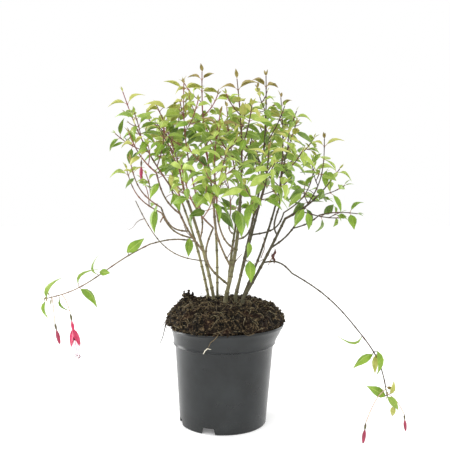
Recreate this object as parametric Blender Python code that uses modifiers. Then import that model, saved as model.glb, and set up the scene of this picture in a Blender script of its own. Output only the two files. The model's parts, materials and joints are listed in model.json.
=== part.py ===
"""A hardy fuchsia in its nursery pot: pot, soil, stems, boughs and masses of foliage, each one closed solid.

Metres, +Z up. The origin is on the pot's underside, under the middle of its base. The plant is seen from -Y.
"""

import math
import random
from dataclasses import dataclass

import bmesh
import bpy
from mathutils import Matrix, Vector
from mathutils.bvhtree import BVHTree

NAME = "potted_hardy_fuchsia"
GAP = 0.0003  # between pieces that touch
WELD = 0.000002  # corners nearer than this are one

# pot
POT_HEIGHT = 0.150
BASE_RADIUS = 0.0660
WALL_TOP_RADIUS = 0.0750
BAND_BOTTOM_RADIUS = 0.0765
RIM_RADIUS = 0.0860
BAND_BOTTOM = 0.122
BAND_STEP = 0.002
LIP_DROP = 0.004
LIP_WIDTH = 0.0015
WALL = 0.0012
FLOOR = 0.0020
BASE_BEVEL = 0.0015
POT_SEGMENTS = 40
POT_DRIFT = (0.0020, 0.0076)  # how far the soft pot's middle moves to +X at the band and at the rim
RIM_TILT = 0.032  # rise of the rim to +X
NOTCH_TURNS = [math.radians(turn) for turn in (194, 251, 14, 71)]
NOTCH_WIDTH = 0.025
NOTCH_TOP_WIDTH = 0.017
NOTCH_HEIGHT = 0.0095
NOTCH_DEPTH = 0.010
DRAIN_COUNT = 6
DRAIN_RADIUS = 0.004
DRAIN_CIRCLE = 0.036

# soil
SOIL_TOP = 0.1845
SOIL_FLAT_RADIUS = 0.040
SOIL_RADIUS = 0.0885
SOIL_SHOULDER = 0.1575
SOIL_DRIFT = 0.0035
SOIL_SEGMENTS = 28
SOIL_RINGS = 5
SOIL_SEED = 5
SOIL_LUMPS = 16
LUMP_HEIGHT = 0.0045
LUMP_WIDTH = 0.011
LEFT_LUMP = (-0.056, 0.012, 0.0090)

# stems and boughs
FLARE = 1.35
FLARE_HEIGHT = 0.007
STEM_SIDES = 2  # bevel resolution: 8 sides
BOUGH_SIDES = 1  # bevel resolution: 6 sides
LIMB_STEP = 0.026

# foliage
SEED = 41
LEAF_LENGTH = 0.038
LEAF_WIDTH = 0.48  # of its length
LEAF_THICKNESS = 0.028  # of its length
LEAF_WIDEST = 0.45  # of its length, from the root
LEAF_ARCH = 0.10  # of its length
LEAF_FOLD = 0.10  # of its length
TIP_LEAF = 0.34  # length of the leaves at a shoot's tip, of the full length
LEAF_GAIN = 0.22  # how much longer each lower pair is
FIRST_JOINT = 0.008
JOINT_GROWTH = 1.42
WIDEST_JOINT = 0.030
TWIG_SIDES = 3
TWIG_TIP_RADIUS = 0.0007
SPUR_RADIUS = 0.0009
SIDE_SHOOT_ANGLE = math.radians(42)
SPACE_MARGIN = 0.0004
LEAF_CLEARANCE = 0.0006
TURNS = (0, 24, -24, 50, -50, 78)  # degrees that a leaf may turn round its twig to find room
SHRINKS = (1.0, 0.8)

# blossom
STALK_RADIUS = 0.0006
OVARY_LENGTH = 0.007
OVARY_RADIUS = 0.0021
TUBE_LENGTH = 0.011
BUD_LENGTH = 0.024
BUD_RADIUS = 0.0038
SEPAL_LENGTH = 0.019
SEPAL_SPREAD = math.radians(30)
COROLLA_LENGTH = 0.012
COROLLA_RADIUS = 0.0055
STYLE_LENGTH = 0.031

POT_COLOUR = (0.035, 0.035, 0.038)
SOIL_COLOUR = (0.060, 0.036, 0.022)
STEM_COLOUR = (0.20, 0.12, 0.065)
SHOOT_COLOUR = (0.26, 0.10, 0.06)
LEAF_COLOUR = (0.13, 0.22, 0.05)


@dataclass(frozen=True)
class Route:
    """A bent line from start to end: bowed to one side in the middle and swayed like an S."""

    start: Vector
    end: Vector
    bow: Vector
    sway: Vector = Vector((0, 0, 0))

    def at(self, t):
        """The point at the share t of the way."""
        return (
            self.start.lerp(self.end, t)
            + self.bow * math.sin(math.pi * t)
            + self.sway * math.sin(2 * math.pi * t)
        )

    def heading(self, t):
        """The direction of travel at t."""
        step = 1e-3
        return (self.at(t + step) - self.at(t - step)).normalized()

    def length(self):
        """The length along the line."""
        steps = 24
        return sum((self.at((i + 1) / steps) - self.at(i / steps)).length for i in range(steps))


@dataclass(frozen=True)
class Stem:
    """A stem from a flat cut on the soil to the place where it enters its leaves."""

    name: str
    foot: tuple
    tip: tuple
    bow: tuple
    foot_radius: float
    tip_radius: float


@dataclass(frozen=True)
class Bough:
    """A bough that leaves its parent limb at a share of that limb's way."""

    name: str
    parent: str
    share: float
    tip: tuple
    bow: tuple
    foot_radius: float
    tip_radius: float
    sway: tuple = (0, 0, 0)


@dataclass(frozen=True)
class Mass:
    """A mass of leaves that grows on from its limb, mostly from the limb's tip, up to its own tip."""

    name: str
    limb: str
    apex: tuple
    bow: tuple
    side_shoots: int = 1
    leaf_scale: float = 1.0
    upright: bool = True
    sway: tuple = (0, 0, 0)
    share: float = 1.0
    age: int = 0


@dataclass(frozen=True)
class Hanging:
    """A bud or an open flower: where its stalk leaves the mass's stem, where it ends, and its lean to +X."""

    mass: str
    kind: str
    share: float
    end: tuple
    lean: float
    scale: float = 1.0


STEMS = [
    Stem("stem_left", (-0.015, 0.012), (-0.061, 0.034, 0.353), (0.004, -0.002, 0), 0.0027, 0.0020),
    Stem("stem_tall_left", (-0.009, 0.024), (-0.0215, 0.036, 0.385), (0.004, 0, 0), 0.0021, 0.0016),
    Stem("stem_centre", (0.004, -0.012), (0.026, -0.030, 0.350), (0.0045, 0, 0), 0.0032, 0.0021),
    Stem("stem_tall_right", (0.019, -0.015), (0.055, 0.008, 0.352), (0, 0, 0), 0.0022, 0.0017),
    Stem("stem_inner_right", (0.030, -0.002), (0.088, 0.025, 0.355), (0.004, -0.002, 0), 0.0019, 0.0015),
    Stem("stem_right", (0.029, -0.027), (0.091, -0.038, 0.313), (0.002, 0.004, 0), 0.0024, 0.0018),
    Stem("stem_back_left", (-0.024, 0.031), (-0.066, 0.084, 0.330), (0.004, -0.010, 0), 0.0023, 0.0016),
    Stem("stem_back", (0.007, 0.034), (0.030, 0.096, 0.345), (-0.003, -0.012, 0), 0.0023, 0.0016),
    Stem("stem_back_right", (0.019, 0.018), (0.062, 0.088, 0.340), (0, -0.010, 0), 0.0023, 0.0016),
]

BOUGHS = [
    Bough("bough_left", "stem_left", 0.42,
          (-0.0786, -0.010, 0.360), (-0.004, -0.004, -0.006), 0.0018, 0.0014),
    Bough("bough_left_inner", "stem_left", 0.54,
          (-0.041, -0.016, 0.350), (0.007, -0.010, -0.005), 0.0014, 0.0012),
    Bough("bough_left_second", "bough_left", 0.64,
          (-0.098, -0.030, 0.380), (-0.004, -0.010, -0.006), 0.0013, 0.0011),
    Bough("bough_left_low", "bough_left", 0.38,
          (-0.092, -0.022, 0.329), (-0.005, -0.005, -0.010), 0.0013, 0.0011),
    Bough("bough_front_left", "stem_centre", 0.28,
          (-0.011, -0.022, 0.356), (-0.012, -0.003, 0), 0.0016, 0.0013),
    Bough("bough_elbow", "stem_centre", 0.13,
          (-0.014, -0.046, 0.300), (-0.021, -0.005, -0.004), 0.0018, 0.0013),
    Bough("bough_front", "stem_centre", 0.47,
          (-0.009, -0.056, 0.322), (-0.004, -0.008, -0.008), 0.0014, 0.0012),
    Bough("bough_front_right", "stem_centre", 0.57,
          (0.044, -0.068, 0.318), (0.003, -0.010, -0.008), 0.0014, 0.0012),
    Bough("bough_right_inner", "stem_right", 0.80,
          (0.080, -0.062, 0.330), (-0.006, -0.008, -0.004), 0.0014, 0.0012),
    Bough("bough_far_right", "stem_right", 0.64,
          (0.120, -0.014, 0.324), (0.004, 0.006, -0.006), 0.0015, 0.0012),
    Bough("bough_low_right", "bough_far_right", 0.62,
          (0.142, -0.030, 0.318), (0.002, -0.006, -0.002), 0.0011, 0.0010),
    Bough("bough_back_left", "stem_back_left", 0.62,
          (-0.100, 0.066, 0.318), (-0.006, -0.004, -0.008), 0.0014, 0.0012),
    Bough("bough_back", "stem_back", 0.60,
          (0.012, 0.122, 0.315), (-0.005, 0.010, -0.008), 0.0014, 0.0012),
    Bough("bough_back_right", "stem_back_right", 0.62,
          (0.100, 0.084, 0.318), (0.010, -0.002, -0.008), 0.0014, 0.0012),
    Bough("bough_arching_left", "bough_left", 0.20,
          (-0.108, -0.030, 0.275), (0, 0, 0.005), 0.0012, 0.0010),
    Bough("bough_arching_right", "stem_right", 0.46,
          (0.100, -0.052, 0.2345), (0.002, -0.002, 0.008), 0.0013, 0.0011),
    Bough("twig_bare_left", "stem_left", 0.33,
          (-0.131, -0.015, 0.339), (-0.008, -0.004, -0.024), 0.0009, 0.0007),
]

LIMB_ENDS = [
    Bough("bough_weeping_right", "bough_arching_right", 1.0,
          (0.1906, -0.110, 0.1557), (0.004, 0, 0.007), 0.0011, 0.0009),
]

MASSES = [
    Mass("foliage_top_left", "bough_left", (-0.148, -0.020, 0.500), (-0.005, 0, -0.005)),
    Mass("foliage_upper_left", "stem_left", (-0.104, 0.030, 0.488), (0.004, 0, 0.004)),
    Mass("foliage_second_left", "bough_left_second",
         (-0.135, -0.050, 0.437), (-0.003, -0.004, -0.004), 1, 0.9),
    Mass("foliage_low_left", "bough_left_low", (-0.134, -0.048, 0.398), (-0.008, 0, -0.008)),
    Mass("foliage_inner_left", "bough_left_inner", (-0.0588, -0.004, 0.5145), (-0.006, -0.006, 0)),
    Mass("foliage_tall_left", "stem_tall_left", (-0.033, 0.040, 0.540), (-0.004, 0, 0)),
    Mass("foliage_front_left", "bough_front_left", (-0.004, -0.056, 0.462), (-0.004, -0.006, 0)),
    Mass("foliage_centre", "stem_centre", (0.0205, -0.030, 0.517), (0.004, 0.004, 0)),
    Mass("foliage_tall_right", "stem_tall_right", (0.066, 0.020, 0.530), (0.004, 0, 0)),
    Mass("foliage_inner_right", "stem_inner_right", (0.092, 0.056, 0.502), (0.004, 0, 0)),
    Mass("foliage_upper_right", "bough_right_inner",
         (0.1045, -0.052, 0.448), (-0.006, -0.006, 0)),
    Mass("foliage_far_right", "bough_far_right", (0.150, -0.022, 0.431), (0.010, 0, -0.006)),
    Mass("foliage_outer_right", "stem_right", (0.183, 0.036, 0.388), (0.002, 0.006, -0.010)),
    Mass("foliage_low_right", "bough_low_right",
         (0.198, -0.032, 0.320), (0, 0, 0.003), 0, 0.9, False),
    Mass("foliage_front_low_left", "bough_elbow",
         (-0.056, -0.108, 0.388), (-0.006, -0.008, -0.008)),
    Mass("foliage_front", "bough_front", (0.004, -0.116, 0.402), (-0.004, -0.010, -0.006)),
    Mass("foliage_front_right", "bough_front_right",
         (0.062, -0.112, 0.408), (0.004, -0.010, -0.006)),
    Mass("foliage_back_left", "stem_back_left", (-0.100, 0.112, 0.466), (-0.006, 0.006, 0)),
    Mass("foliage_back_low_left", "bough_back_left",
         (-0.156, 0.066, 0.388), (-0.010, 0.004, -0.008)),
    Mass("foliage_back", "stem_back", (0.006, 0.124, 0.496), (-0.004, 0.008, 0)),
    Mass("foliage_back_low", "bough_back", (0.004, 0.172, 0.386), (0.004, 0.010, -0.008)),
    Mass("foliage_back_right", "stem_back_right", (0.072, 0.122, 0.470), (0.008, 0.006, 0)),
    Mass("foliage_back_low_right", "bough_back_right",
         (0.152, 0.098, 0.394), (0.010, 0.004, -0.008)),
    Mass("leaf_spur_left", "bough_arching_left",
         (-0.049, 0.002, 0.270), (0, 0, 0.002), 0, 0.85, False, (0, 0, 0), 0.12, 3),
    Mass("leaf_spur_outer_left", "bough_left_low",
         (-0.093, -0.026, 0.307), (0, 0, 0.002), 0, 0.95, False, (0, 0, 0), 0.8, 3),
    Mass("leaf_spur_centre", "stem_tall_right",
         (0.040, -0.016, 0.286), (0, 0, 0.002), 0, 0.85, False, (0, 0, 0), 0.56, 3),
    Mass("leaf_spur_low_centre", "stem_tall_right",
         (0.036, -0.026, 0.249), (0, 0, 0.002), 0, 0.85, False, (0, 0, 0), 0.34, 3),
    Mass("foliage_arching_left", "bough_arching_left",
         (-0.248, -0.094, 0.204), (0, 0, -0.007), 0, 0.95, False, (0, 0, 0.004)),
    Mass("foliage_weeping_right", "bough_weeping_right",
         (0.219, -0.135, 0.0805), (0.006, 0, 0.004), 0, 0.95, False),
]

BLOSSOM = [
    Hanging("foliage_arching_left", "flower", 0.84, (-0.2135, -0.086, 0.1825), 0.16),
    Hanging("foliage_arching_left", "bud", 0.93, (-0.2340, -0.090, 0.1690), 0.27, 0.85),
    Hanging("foliage_weeping_right", "bud", 0.90, (0.1910, -0.142, 0.0640), -0.25, 1.1),
    Hanging("foliage_weeping_right", "bud", 0.97, (0.2330, -0.132, 0.0720), 0.27),
    Hanging("foliage_second_left", "bud", 0.62, (-0.1150, -0.062, 0.4020), 0, 0.8),
]


def clear_scene():
    """Remove every object that is there."""
    for item in list(bpy.data.objects):
        bpy.data.objects.remove(item, do_unlink=True)


def new_collection(name):
    """A collection in the scene."""
    made = bpy.data.collections.new(name)
    bpy.context.scene.collection.children.link(made)
    return made


def finish(name, colour, roughness):
    """A plain surface of one colour."""
    material = bpy.data.materials.new(name)
    material.use_nodes = True
    shader = material.node_tree.nodes["Principled BSDF"]
    shader.inputs["Base Color"].default_value = (*colour, 1)
    shader.inputs["Roughness"].default_value = roughness
    shader.inputs["Metallic"].default_value = 0
    return material


def add_object(name, mesh, collection, colour=None, roughness=0.7):
    """Put a mesh in the scene, with its own surface if it is a sub-part."""
    made = bpy.data.objects.new(name, mesh)
    collection.objects.link(made)
    if colour:
        mesh.materials.clear()
        mesh.materials.append(finish(name + "_surface", colour, roughness))
    return made


def mesh_from(builder, name):
    """A mesh from a bmesh that a function fills."""
    body = bmesh.new()
    builder(body)
    mesh = bpy.data.meshes.new(name)
    body.to_mesh(mesh)
    body.free()
    return mesh


def applied(item, collection, weld=WELD):
    """The object again as a plain mesh, its modifiers or curve worked out and its caps welded."""
    bpy.context.view_layer.update()
    mesh = bpy.data.meshes.new_from_object(item.evaluated_get(bpy.context.evaluated_depsgraph_get()))
    body = bmesh.new()
    body.from_mesh(mesh)
    if weld:
        bmesh.ops.remove_doubles(body, verts=body.verts, dist=weld)
    bmesh.ops.recalc_face_normals(body, faces=body.faces)
    body.to_mesh(mesh)
    body.free()
    name, place = item.name, item.matrix_world.copy()
    bpy.data.objects.remove(item, do_unlink=True)
    made = bpy.data.objects.new(name, mesh)
    made.matrix_world = place
    collection.objects.link(made)
    return made


def turned(name, profile, segments, collection):
    """A solid turned from a profile that starts and ends on the axis."""
    mesh = bpy.data.meshes.new(name)
    points = [(radius, 0, height) for radius, height in profile]
    mesh.from_pydata(points, [(i, i + 1) for i in range(len(points) - 1)], [])
    item = add_object(name, mesh, collection)
    screw = item.modifiers.new("turn", "SCREW")
    screw.steps = segments
    screw.render_steps = segments
    screw.use_merge_vertices = True
    screw.merge_threshold = 0.00001
    return applied(item, collection)


def drift(height):
    """How far the soft pot's middle lies to +X at this height."""
    if height <= BAND_BOTTOM:
        return POT_DRIFT[0] * height / BAND_BOTTOM
    share = min((height - BAND_BOTTOM) / (POT_HEIGHT - BAND_BOTTOM), 1.0)
    return POT_DRIFT[0] + (POT_DRIFT[1] - POT_DRIFT[0]) * share


def pushed_aside(point):
    """A point of the round pot, moved with its drift and its tilted rim."""
    share = min(max((point.z - BAND_BOTTOM) / (POT_HEIGHT - BAND_BOTTOM), 0.0), 1.0)
    return Vector((point.x + drift(point.z), point.y, point.z + RIM_TILT * point.x * share))


def pot_outer():
    """The pot's outside, from the rim down to the middle of its underside."""
    return [
        (RIM_RADIUS - LIP_WIDTH, POT_HEIGHT),
        (RIM_RADIUS - 0.3 * LIP_WIDTH, POT_HEIGHT),
        (RIM_RADIUS, POT_HEIGHT - 0.2 * LIP_DROP),
        (RIM_RADIUS, POT_HEIGHT - 0.8 * LIP_DROP),
        (RIM_RADIUS - 0.5 * LIP_WIDTH, POT_HEIGHT - LIP_DROP),
        (BAND_BOTTOM_RADIUS, BAND_BOTTOM),
        (WALL_TOP_RADIUS, BAND_BOTTOM - BAND_STEP),
        (BASE_RADIUS, BASE_BEVEL),
        (BASE_RADIUS - BASE_BEVEL, 0),
        (0, 0),
    ]


def pot_inner():
    """The pot's inside, from the middle of its floor up to the rim."""
    return [
        (0, FLOOR),
        (BASE_RADIUS - WALL - BASE_BEVEL, FLOOR),
        (BASE_RADIUS - WALL, FLOOR + BASE_BEVEL),
        (WALL_TOP_RADIUS - WALL, BAND_BOTTOM - BAND_STEP),
        (BAND_BOTTOM_RADIUS - WALL, BAND_BOTTOM),
        (RIM_RADIUS - LIP_WIDTH - WALL, POT_HEIGHT - LIP_DROP),
        (RIM_RADIUS - LIP_WIDTH - 0.4 * WALL, POT_HEIGHT - 0.2 * LIP_DROP),
    ]


def notch_cutter(turn, collection):
    """A tapered block that opens the foot of the wall at one side."""

    def build(body):
        bmesh.ops.create_cube(body, size=1)
        for vertex in body.verts:
            width = NOTCH_TOP_WIDTH if vertex.co.z > 0 else NOTCH_WIDTH
            height = NOTCH_HEIGHT if vertex.co.z > 0 else -NOTCH_HEIGHT
            vertex.co = Vector((vertex.co.x * NOTCH_DEPTH, vertex.co.y * width, height))

    cutter = add_object("notch", mesh_from(build, "notch"), collection)
    place = Vector((math.cos(turn), math.sin(turn), 0)) * (BASE_RADIUS - 0.1 * NOTCH_DEPTH)
    cutter.matrix_world = Matrix.Translation(place) @ Matrix.Rotation(turn, 4, "Z")
    return cutter


def drain_cutter(turn, collection):
    """A round drainage hole through the floor."""

    def build(body):
        bmesh.ops.create_cone(
            body, cap_ends=True, segments=8, radius1=DRAIN_RADIUS, radius2=DRAIN_RADIUS, depth=6 * FLOOR
        )

    cutter = add_object("drain", mesh_from(build, "drain"), collection)
    cutter.location = Vector((math.cos(turn), math.sin(turn), 0)) * DRAIN_CIRCLE
    return cutter


def build_pot(parts, cutters):
    """The soft nursery pot, with its band, its foot notches and its drainage holes."""
    pot = turned("pot", pot_inner() + pot_outer(), POT_SEGMENTS, parts)
    for vertex in pot.data.vertices:
        vertex.co = pushed_aside(vertex.co)
    notches = [notch_cutter(turn, cutters) for turn in NOTCH_TURNS]
    drains = [drain_cutter(index * math.tau / DRAIN_COUNT, cutters) for index in range(DRAIN_COUNT)]
    for cutter in notches + drains:
        cutter.hide_render = True
        cutter.display_type = "WIRE"
    cut = pot.modifiers.new("openings", "BOOLEAN")
    cut.operation = "DIFFERENCE"
    cut.operand_type = "COLLECTION"
    cut.collection = cutters
    pot.data.materials.append(finish("pot_surface", POT_COLOUR, 0.55))
    pot.data.shade_smooth()
    pot.data.set_sharp_from_angle(angle=math.radians(35))


def soil_profile():
    """The soil's outline: the pot's inside, the shoulder over the rim and the heap up to its flat middle."""
    inside = [(max(radius - GAP, 0), height + (GAP if radius < BASE_RADIUS - WALL else 0))
              for radius, height in pot_inner()[:-2]]
    neck = [(RIM_RADIUS - LIP_WIDTH - WALL - 2 * GAP, POT_HEIGHT - LIP_DROP),
            (RIM_RADIUS - LIP_WIDTH - WALL, POT_HEIGHT + 3 * GAP)]
    heap = []
    for ring in range(SOIL_RINGS + 1):
        angle = 0.5 * math.pi * ring / SOIL_RINGS
        radius = SOIL_FLAT_RADIUS + (SOIL_RADIUS - SOIL_FLAT_RADIUS) * math.cos(angle)
        height = SOIL_SHOULDER + (SOIL_TOP - SOIL_SHOULDER) * math.sin(angle)
        heap.append((radius, height))
    return (inside + neck + heap + [(0, SOIL_TOP)])[::-1]


def lump_places():
    """Where the heap's clods lie: one large one at the left and a ring of small ones."""
    rng = random.Random(SOIL_SEED)
    places = [LEFT_LUMP]
    for index in range(SOIL_LUMPS):
        turn = math.tau * index / SOIL_LUMPS
        radius = rng.uniform(SOIL_FLAT_RADIUS + 2 * LUMP_WIDTH, SOIL_RADIUS)
        places.append((radius * math.cos(turn), radius * math.sin(turn), rng.uniform(-0.5, 1) * LUMP_HEIGHT))
    return places


def build_soil(parts):
    """The soil that fills the pot and is heaped over its rim, flat in the middle where the stems stand."""
    soil = turned("soil", soil_profile(), SOIL_SEGMENTS, parts)
    lumps = lump_places()
    for vertex in soil.data.vertices:
        point = pushed_aside(vertex.co)
        share = min(max((vertex.co.z - POT_HEIGHT) / (SOIL_SHOULDER - POT_HEIGHT), 0.0), 1.0)
        point.x += (SOIL_DRIFT - POT_DRIFT[1]) * share
        point.z -= RIM_TILT * vertex.co.x * share
        on_slope = math.hypot(vertex.co.x, vertex.co.y) > SOIL_FLAT_RADIUS + GAP
        if on_slope and vertex.co.z > SOIL_SHOULDER + GAP:
            for x, y, height in lumps:
                away = math.hypot(point.x - x, point.y - y) / LUMP_WIDTH
                point.z += height * math.exp(-away * away)
        vertex.co = point
    soil.data.materials.append(finish("soil_surface", SOIL_COLOUR, 0.95))
    soil.data.shade_smooth()
    soil.data.set_sharp_from_angle(angle=math.radians(60))


def triangle_outline(collection):
    """The three-sided outline of a twig, of radius 1."""
    curve = bpy.data.curves.new("twig_outline", "CURVE")
    spline = curve.splines.new("POLY")
    spline.points.add(TWIG_SIDES - 1)
    for index, point in enumerate(spline.points):
        turn = math.tau * index / TWIG_SIDES
        point.co = (math.cos(turn), math.sin(turn), 0, 1)
    spline.use_cyclic_u = True
    outline = bpy.data.objects.new("twig_outline", curve)
    collection.objects.link(outline)
    outline.hide_render = True
    outline.display_type = "WIRE"
    return outline


def tube(name, points, radii, collection, resolution=None, outline=None):
    """A tapering closed tube through points."""
    curve = bpy.data.curves.new(name, "CURVE")
    curve.dimensions = "3D"
    curve.use_fill_caps = True
    if outline:
        curve.bevel_mode = "OBJECT"
        curve.bevel_object = outline
    else:
        curve.bevel_depth = 1.0
        curve.bevel_resolution = resolution
    spline = curve.splines.new("POLY")
    spline.points.add(len(points) - 1)
    for spot, point, radius in zip(spline.points, points, radii):
        spot.co = (*point, 1)
        spot.radius = radius
    item = bpy.data.objects.new(name, curve)
    collection.objects.link(item)
    return applied(item, collection)


def limb_places(route, first=0.0):
    """The shares of the way at which a limb has its rings."""
    count = max(3, round(route.length() * (1 - first) / LIMB_STEP) + 1)
    return [first + (1 - first) * i / (count - 1) for i in range(count)]


@dataclass
class Limb:
    """A built limb: its route, its radii at foot and tip, the shares of its rings, and its solid."""

    route: Route
    foot_radius: float
    tip_radius: float
    shares: list
    solid: object = None

    def radius(self, t):
        """The limb's radius at t."""
        return self.foot_radius + (self.tip_radius - self.foot_radius) * t

    def place(self, t):
        """The point at t on the straight stretches between the limb's rings."""
        for low, high in zip(self.shares, self.shares[1:]):
            if t <= high:
                share = max(t - low, 0) / (high - low)
                return self.route.at(low).lerp(self.route.at(high), share)
        return self.route.at(1.0)

    def tip_heading(self):
        """The direction of the limb's last stretch, square to its flat tip."""
        return (self.place(1.0) - self.place(self.shares[-2])).normalized()


def build_stem(stem, parts):
    """A stem with its root flare, cut flat where it stands on the soil."""
    foot = Vector((*stem.foot, SOIL_TOP + GAP))
    collar = foot + Vector((0, 0, FLARE_HEIGHT))
    route = Route(collar, Vector(stem.tip), Vector(stem.bow))
    shares = limb_places(route)
    limb = Limb(route, stem.foot_radius, stem.tip_radius, shares)
    points = [foot, foot.lerp(collar, 0.35)] + [route.at(t) for t in shares]
    radii = [stem.foot_radius * FLARE, stem.foot_radius * (1 + 0.4 * (FLARE - 1))]
    radii += [limb.radius(t) for t in shares]
    limb.solid = tube(stem.name, points, radii, parts, resolution=STEM_SIDES)
    return limb


def first_clear(route, radius, parent):
    """The share of a bough's way where its flat end clears the parent limb's bark."""
    t = 0.0
    while t < 0.6:
        centre, ahead = route.at(t), route.heading(t)
        side = ahead.orthogonal().normalized()
        ring = [centre + Matrix.Rotation(math.tau * i / 12, 3, ahead) @ side * radius for i in range(12)]
        if all(bark_distance(point, parent) > GAP for point in ring + [centre]):
            return t
        t += 0.002
    raise ValueError("a bough never leaves its parent limb")


def bark_distance(point, parent):
    """How far a point is outside a limb's bark."""
    steps = 160
    return min((point - parent.place(i / steps)).length - parent.radius(i / steps) for i in range(steps + 1))


def build_bough(bough, limbs, parts):
    """A bough whose flat foot stands just clear of its parent, or on the parent's tip."""
    parent = limbs[bough.parent]
    start = parent.place(bough.share)
    if bough.share == 1.0:
        start += parent.tip_heading() * GAP
    route = Route(start, Vector(bough.tip), Vector(bough.bow), Vector(bough.sway))
    first = 0.0 if bough.share == 1.0 else first_clear(route, bough.foot_radius, parent)
    shares = limb_places(route, first)
    limb = Limb(route, bough.foot_radius, bough.tip_radius, shares)
    points = [route.at(t) for t in shares]
    limb.solid = tube(bough.name, points, [limb.radius(t) for t in shares], parts, resolution=BOUGH_SIDES)
    return limb


def leaf_mesh(length, width_scale=1.0, thickness_scale=1.0):
    """A pointed leaf of eight faces along +X, its face to +Z, folded along its rib and arched over."""

    def build(body):
        bmesh.ops.create_uvsphere(body, u_segments=4, v_segments=2, radius=1)
        for vertex in body.verts:
            across, through, along = vertex.co
            if abs(along) > 0.5:
                vertex.co = Vector((length, 0, -LEAF_ARCH * length)) if along > 0 else Vector((0, 0, 0))
            else:
                width = 0.5 * LEAF_WIDTH * width_scale * length * across
                lift = 0.5 * LEAF_THICKNESS * thickness_scale * length * through
                lift += LEAF_FOLD * length * abs(across) * 0.5
                vertex.co = Vector((LEAF_WIDEST * length, width, lift + 0.4 * LEAF_ARCH * length))
        bmesh.ops.recalc_face_normals(body, faces=body.faces)

    return mesh_from(build, "leaf")


def spindle_mesh(length, radius, widest=0.5, segments=5):
    """A body pointed at both ends along +X, for an ovary, a bud or a corolla."""

    def build(body):
        bmesh.ops.create_uvsphere(body, u_segments=segments, v_segments=3, radius=1)
        for vertex in body.verts:
            bulge = vertex.co.copy()
            share = 0.5 + 0.5 * bulge.z
            along = share ** (math.log(widest) / math.log(0.5))
            vertex.co = Vector((along * length, bulge.x * radius, bulge.y * radius))
        bmesh.ops.recalc_face_normals(body, faces=body.faces)

    return mesh_from(build, "spindle")


def frame_at(place, along, face):
    """The matrix that lays +X along a direction, with +Z as near as it can be to a face direction."""
    ahead = along.normalized()
    side = face.cross(ahead)
    if side.length < 1e-6:
        side = ahead.orthogonal()
    side.normalize()
    up = ahead.cross(side)
    turn = Matrix((ahead, side, up)).transposed().to_4x4()
    return Matrix.Translation(place) @ turn


class Crown:
    """The spaces that the masses keep to, and what has grown so far."""

    def __init__(self, limbs, routes):
        self.limbs = limbs
        self.samples = [(name, [route.at(i / 10) for i in range(11)]) for name, route in routes.items()]
        bodies = [limb.solid for limb in limbs.values()]
        self.wood = [(name, self.tree([body])) for name, body in zip(limbs, bodies)]
        self.grown = {}

    @staticmethod
    def tree(items):
        """The faces of some objects, ready for an overlap test."""
        points, faces = [], []
        for item in items:
            first = len(points)
            points += [item.matrix_world @ vertex.co for vertex in item.data.vertices]
            faces += [[first + index for index in face.vertices] for face in item.data.polygons]
        return BVHTree.FromPolygons(points, faces)

    def owner_gap(self, point, name):
        """How much nearer a point is to its own mass's stem than to any other's."""
        own, other = math.inf, math.inf
        for mass, places in self.samples:
            nearest = min((point - place).length for place in places)
            if mass == name:
                own = nearest
            else:
                other = min(other, nearest)
        return other - own

    def has_room(self, mesh, matrix, name):
        """Whether a leaf or twig keeps to its mass's space and clear of every other solid."""
        points = [matrix @ vertex.co for vertex in mesh.vertices]
        if any(self.owner_gap(point, name) < 2 * SPACE_MARGIN for point in points[1:]):
            return False
        if min(point.z for point in points) < SOIL_TOP + 4 * GAP and name.startswith("foliage_front"):
            return False
        middle = sum(points, Vector()) / len(points)
        fat = [point + (point - middle).normalized() * LEAF_CLEARANCE for point in points]
        tree = BVHTree.FromPolygons(fat, [list(face.vertices) for face in mesh.polygons])
        if any(tree.overlap(other) for _, other in self.wood):
            return False
        return not any(tree.overlap(other) for mass, other in self.grown.items() if mass != name)


def joints_along(length):
    """Distances of the leaf joints back from a shoot's tip: close together there, wider apart below."""
    places, gap, back = [], FIRST_JOINT, 0.5 * FIRST_JOINT
    while back < max(length - FIRST_JOINT, FIRST_JOINT):
        places.append(back)
        gap = min(gap * JOINT_GROWTH, WIDEST_JOINT)
        back += gap
    return places


def leaf_direction(route, t, turn, age, upright):
    """Which way a leaf at a joint points, and which way its face looks."""
    ahead = route.heading(t)
    side = Matrix.Rotation(turn, 3, ahead) @ ahead.orthogonal().normalized()
    spread = math.radians(min(24 + 13 * age, 78))
    along = ahead * math.cos(spread) + side * math.sin(spread)
    along.z -= min(0.09 * age, 0.55) * (1.0 if upright else 1.3)
    face = (ahead - along * ahead.dot(along)) if upright else Vector((0, 0, 1))
    return along.normalized(), (face + Vector((0, 0, 0.6))).normalized()


def grow_leaves(mass, crown, rng, route, scratch, full_length, first_age):
    """Opposite pairs of leaves along a shoot, each pair square to the next."""
    grown = []
    length = route.length()
    turn = rng.uniform(0, math.pi)
    for age, back in enumerate(joints_along(length), start=first_age):
        t = 1 - back / length
        turn += math.pi / 2 + rng.uniform(-0.25, 0.25)
        size = full_length * min(1.0, TIP_LEAF + LEAF_GAIN * age) * rng.uniform(0.88, 1.1)
        for side in (0, math.pi):
            leaf = place_leaf(mass, crown, route, t, turn + side, age, size, scratch)
            if leaf:
                grown.append(leaf)
    return grown


def place_leaf(mass, crown, route, t, turn, age, size, scratch):
    """One leaf, turned or made smaller until it finds room, or nothing."""
    for shrink in SHRINKS:
        mesh = leaf_mesh(size * shrink)
        for degrees in TURNS:
            along, face = leaf_direction(route, t, turn + math.radians(degrees), age, mass.upright)
            root = route.at(t) - along * TWIG_TIP_RADIUS
            matrix = frame_at(root, along, face)
            if crown.has_room(mesh, matrix, mass.name):
                leaf = add_object("leaf", mesh, scratch)
                leaf.matrix_world = matrix
                return leaf
        bpy.data.meshes.remove(mesh)
    return None


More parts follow.
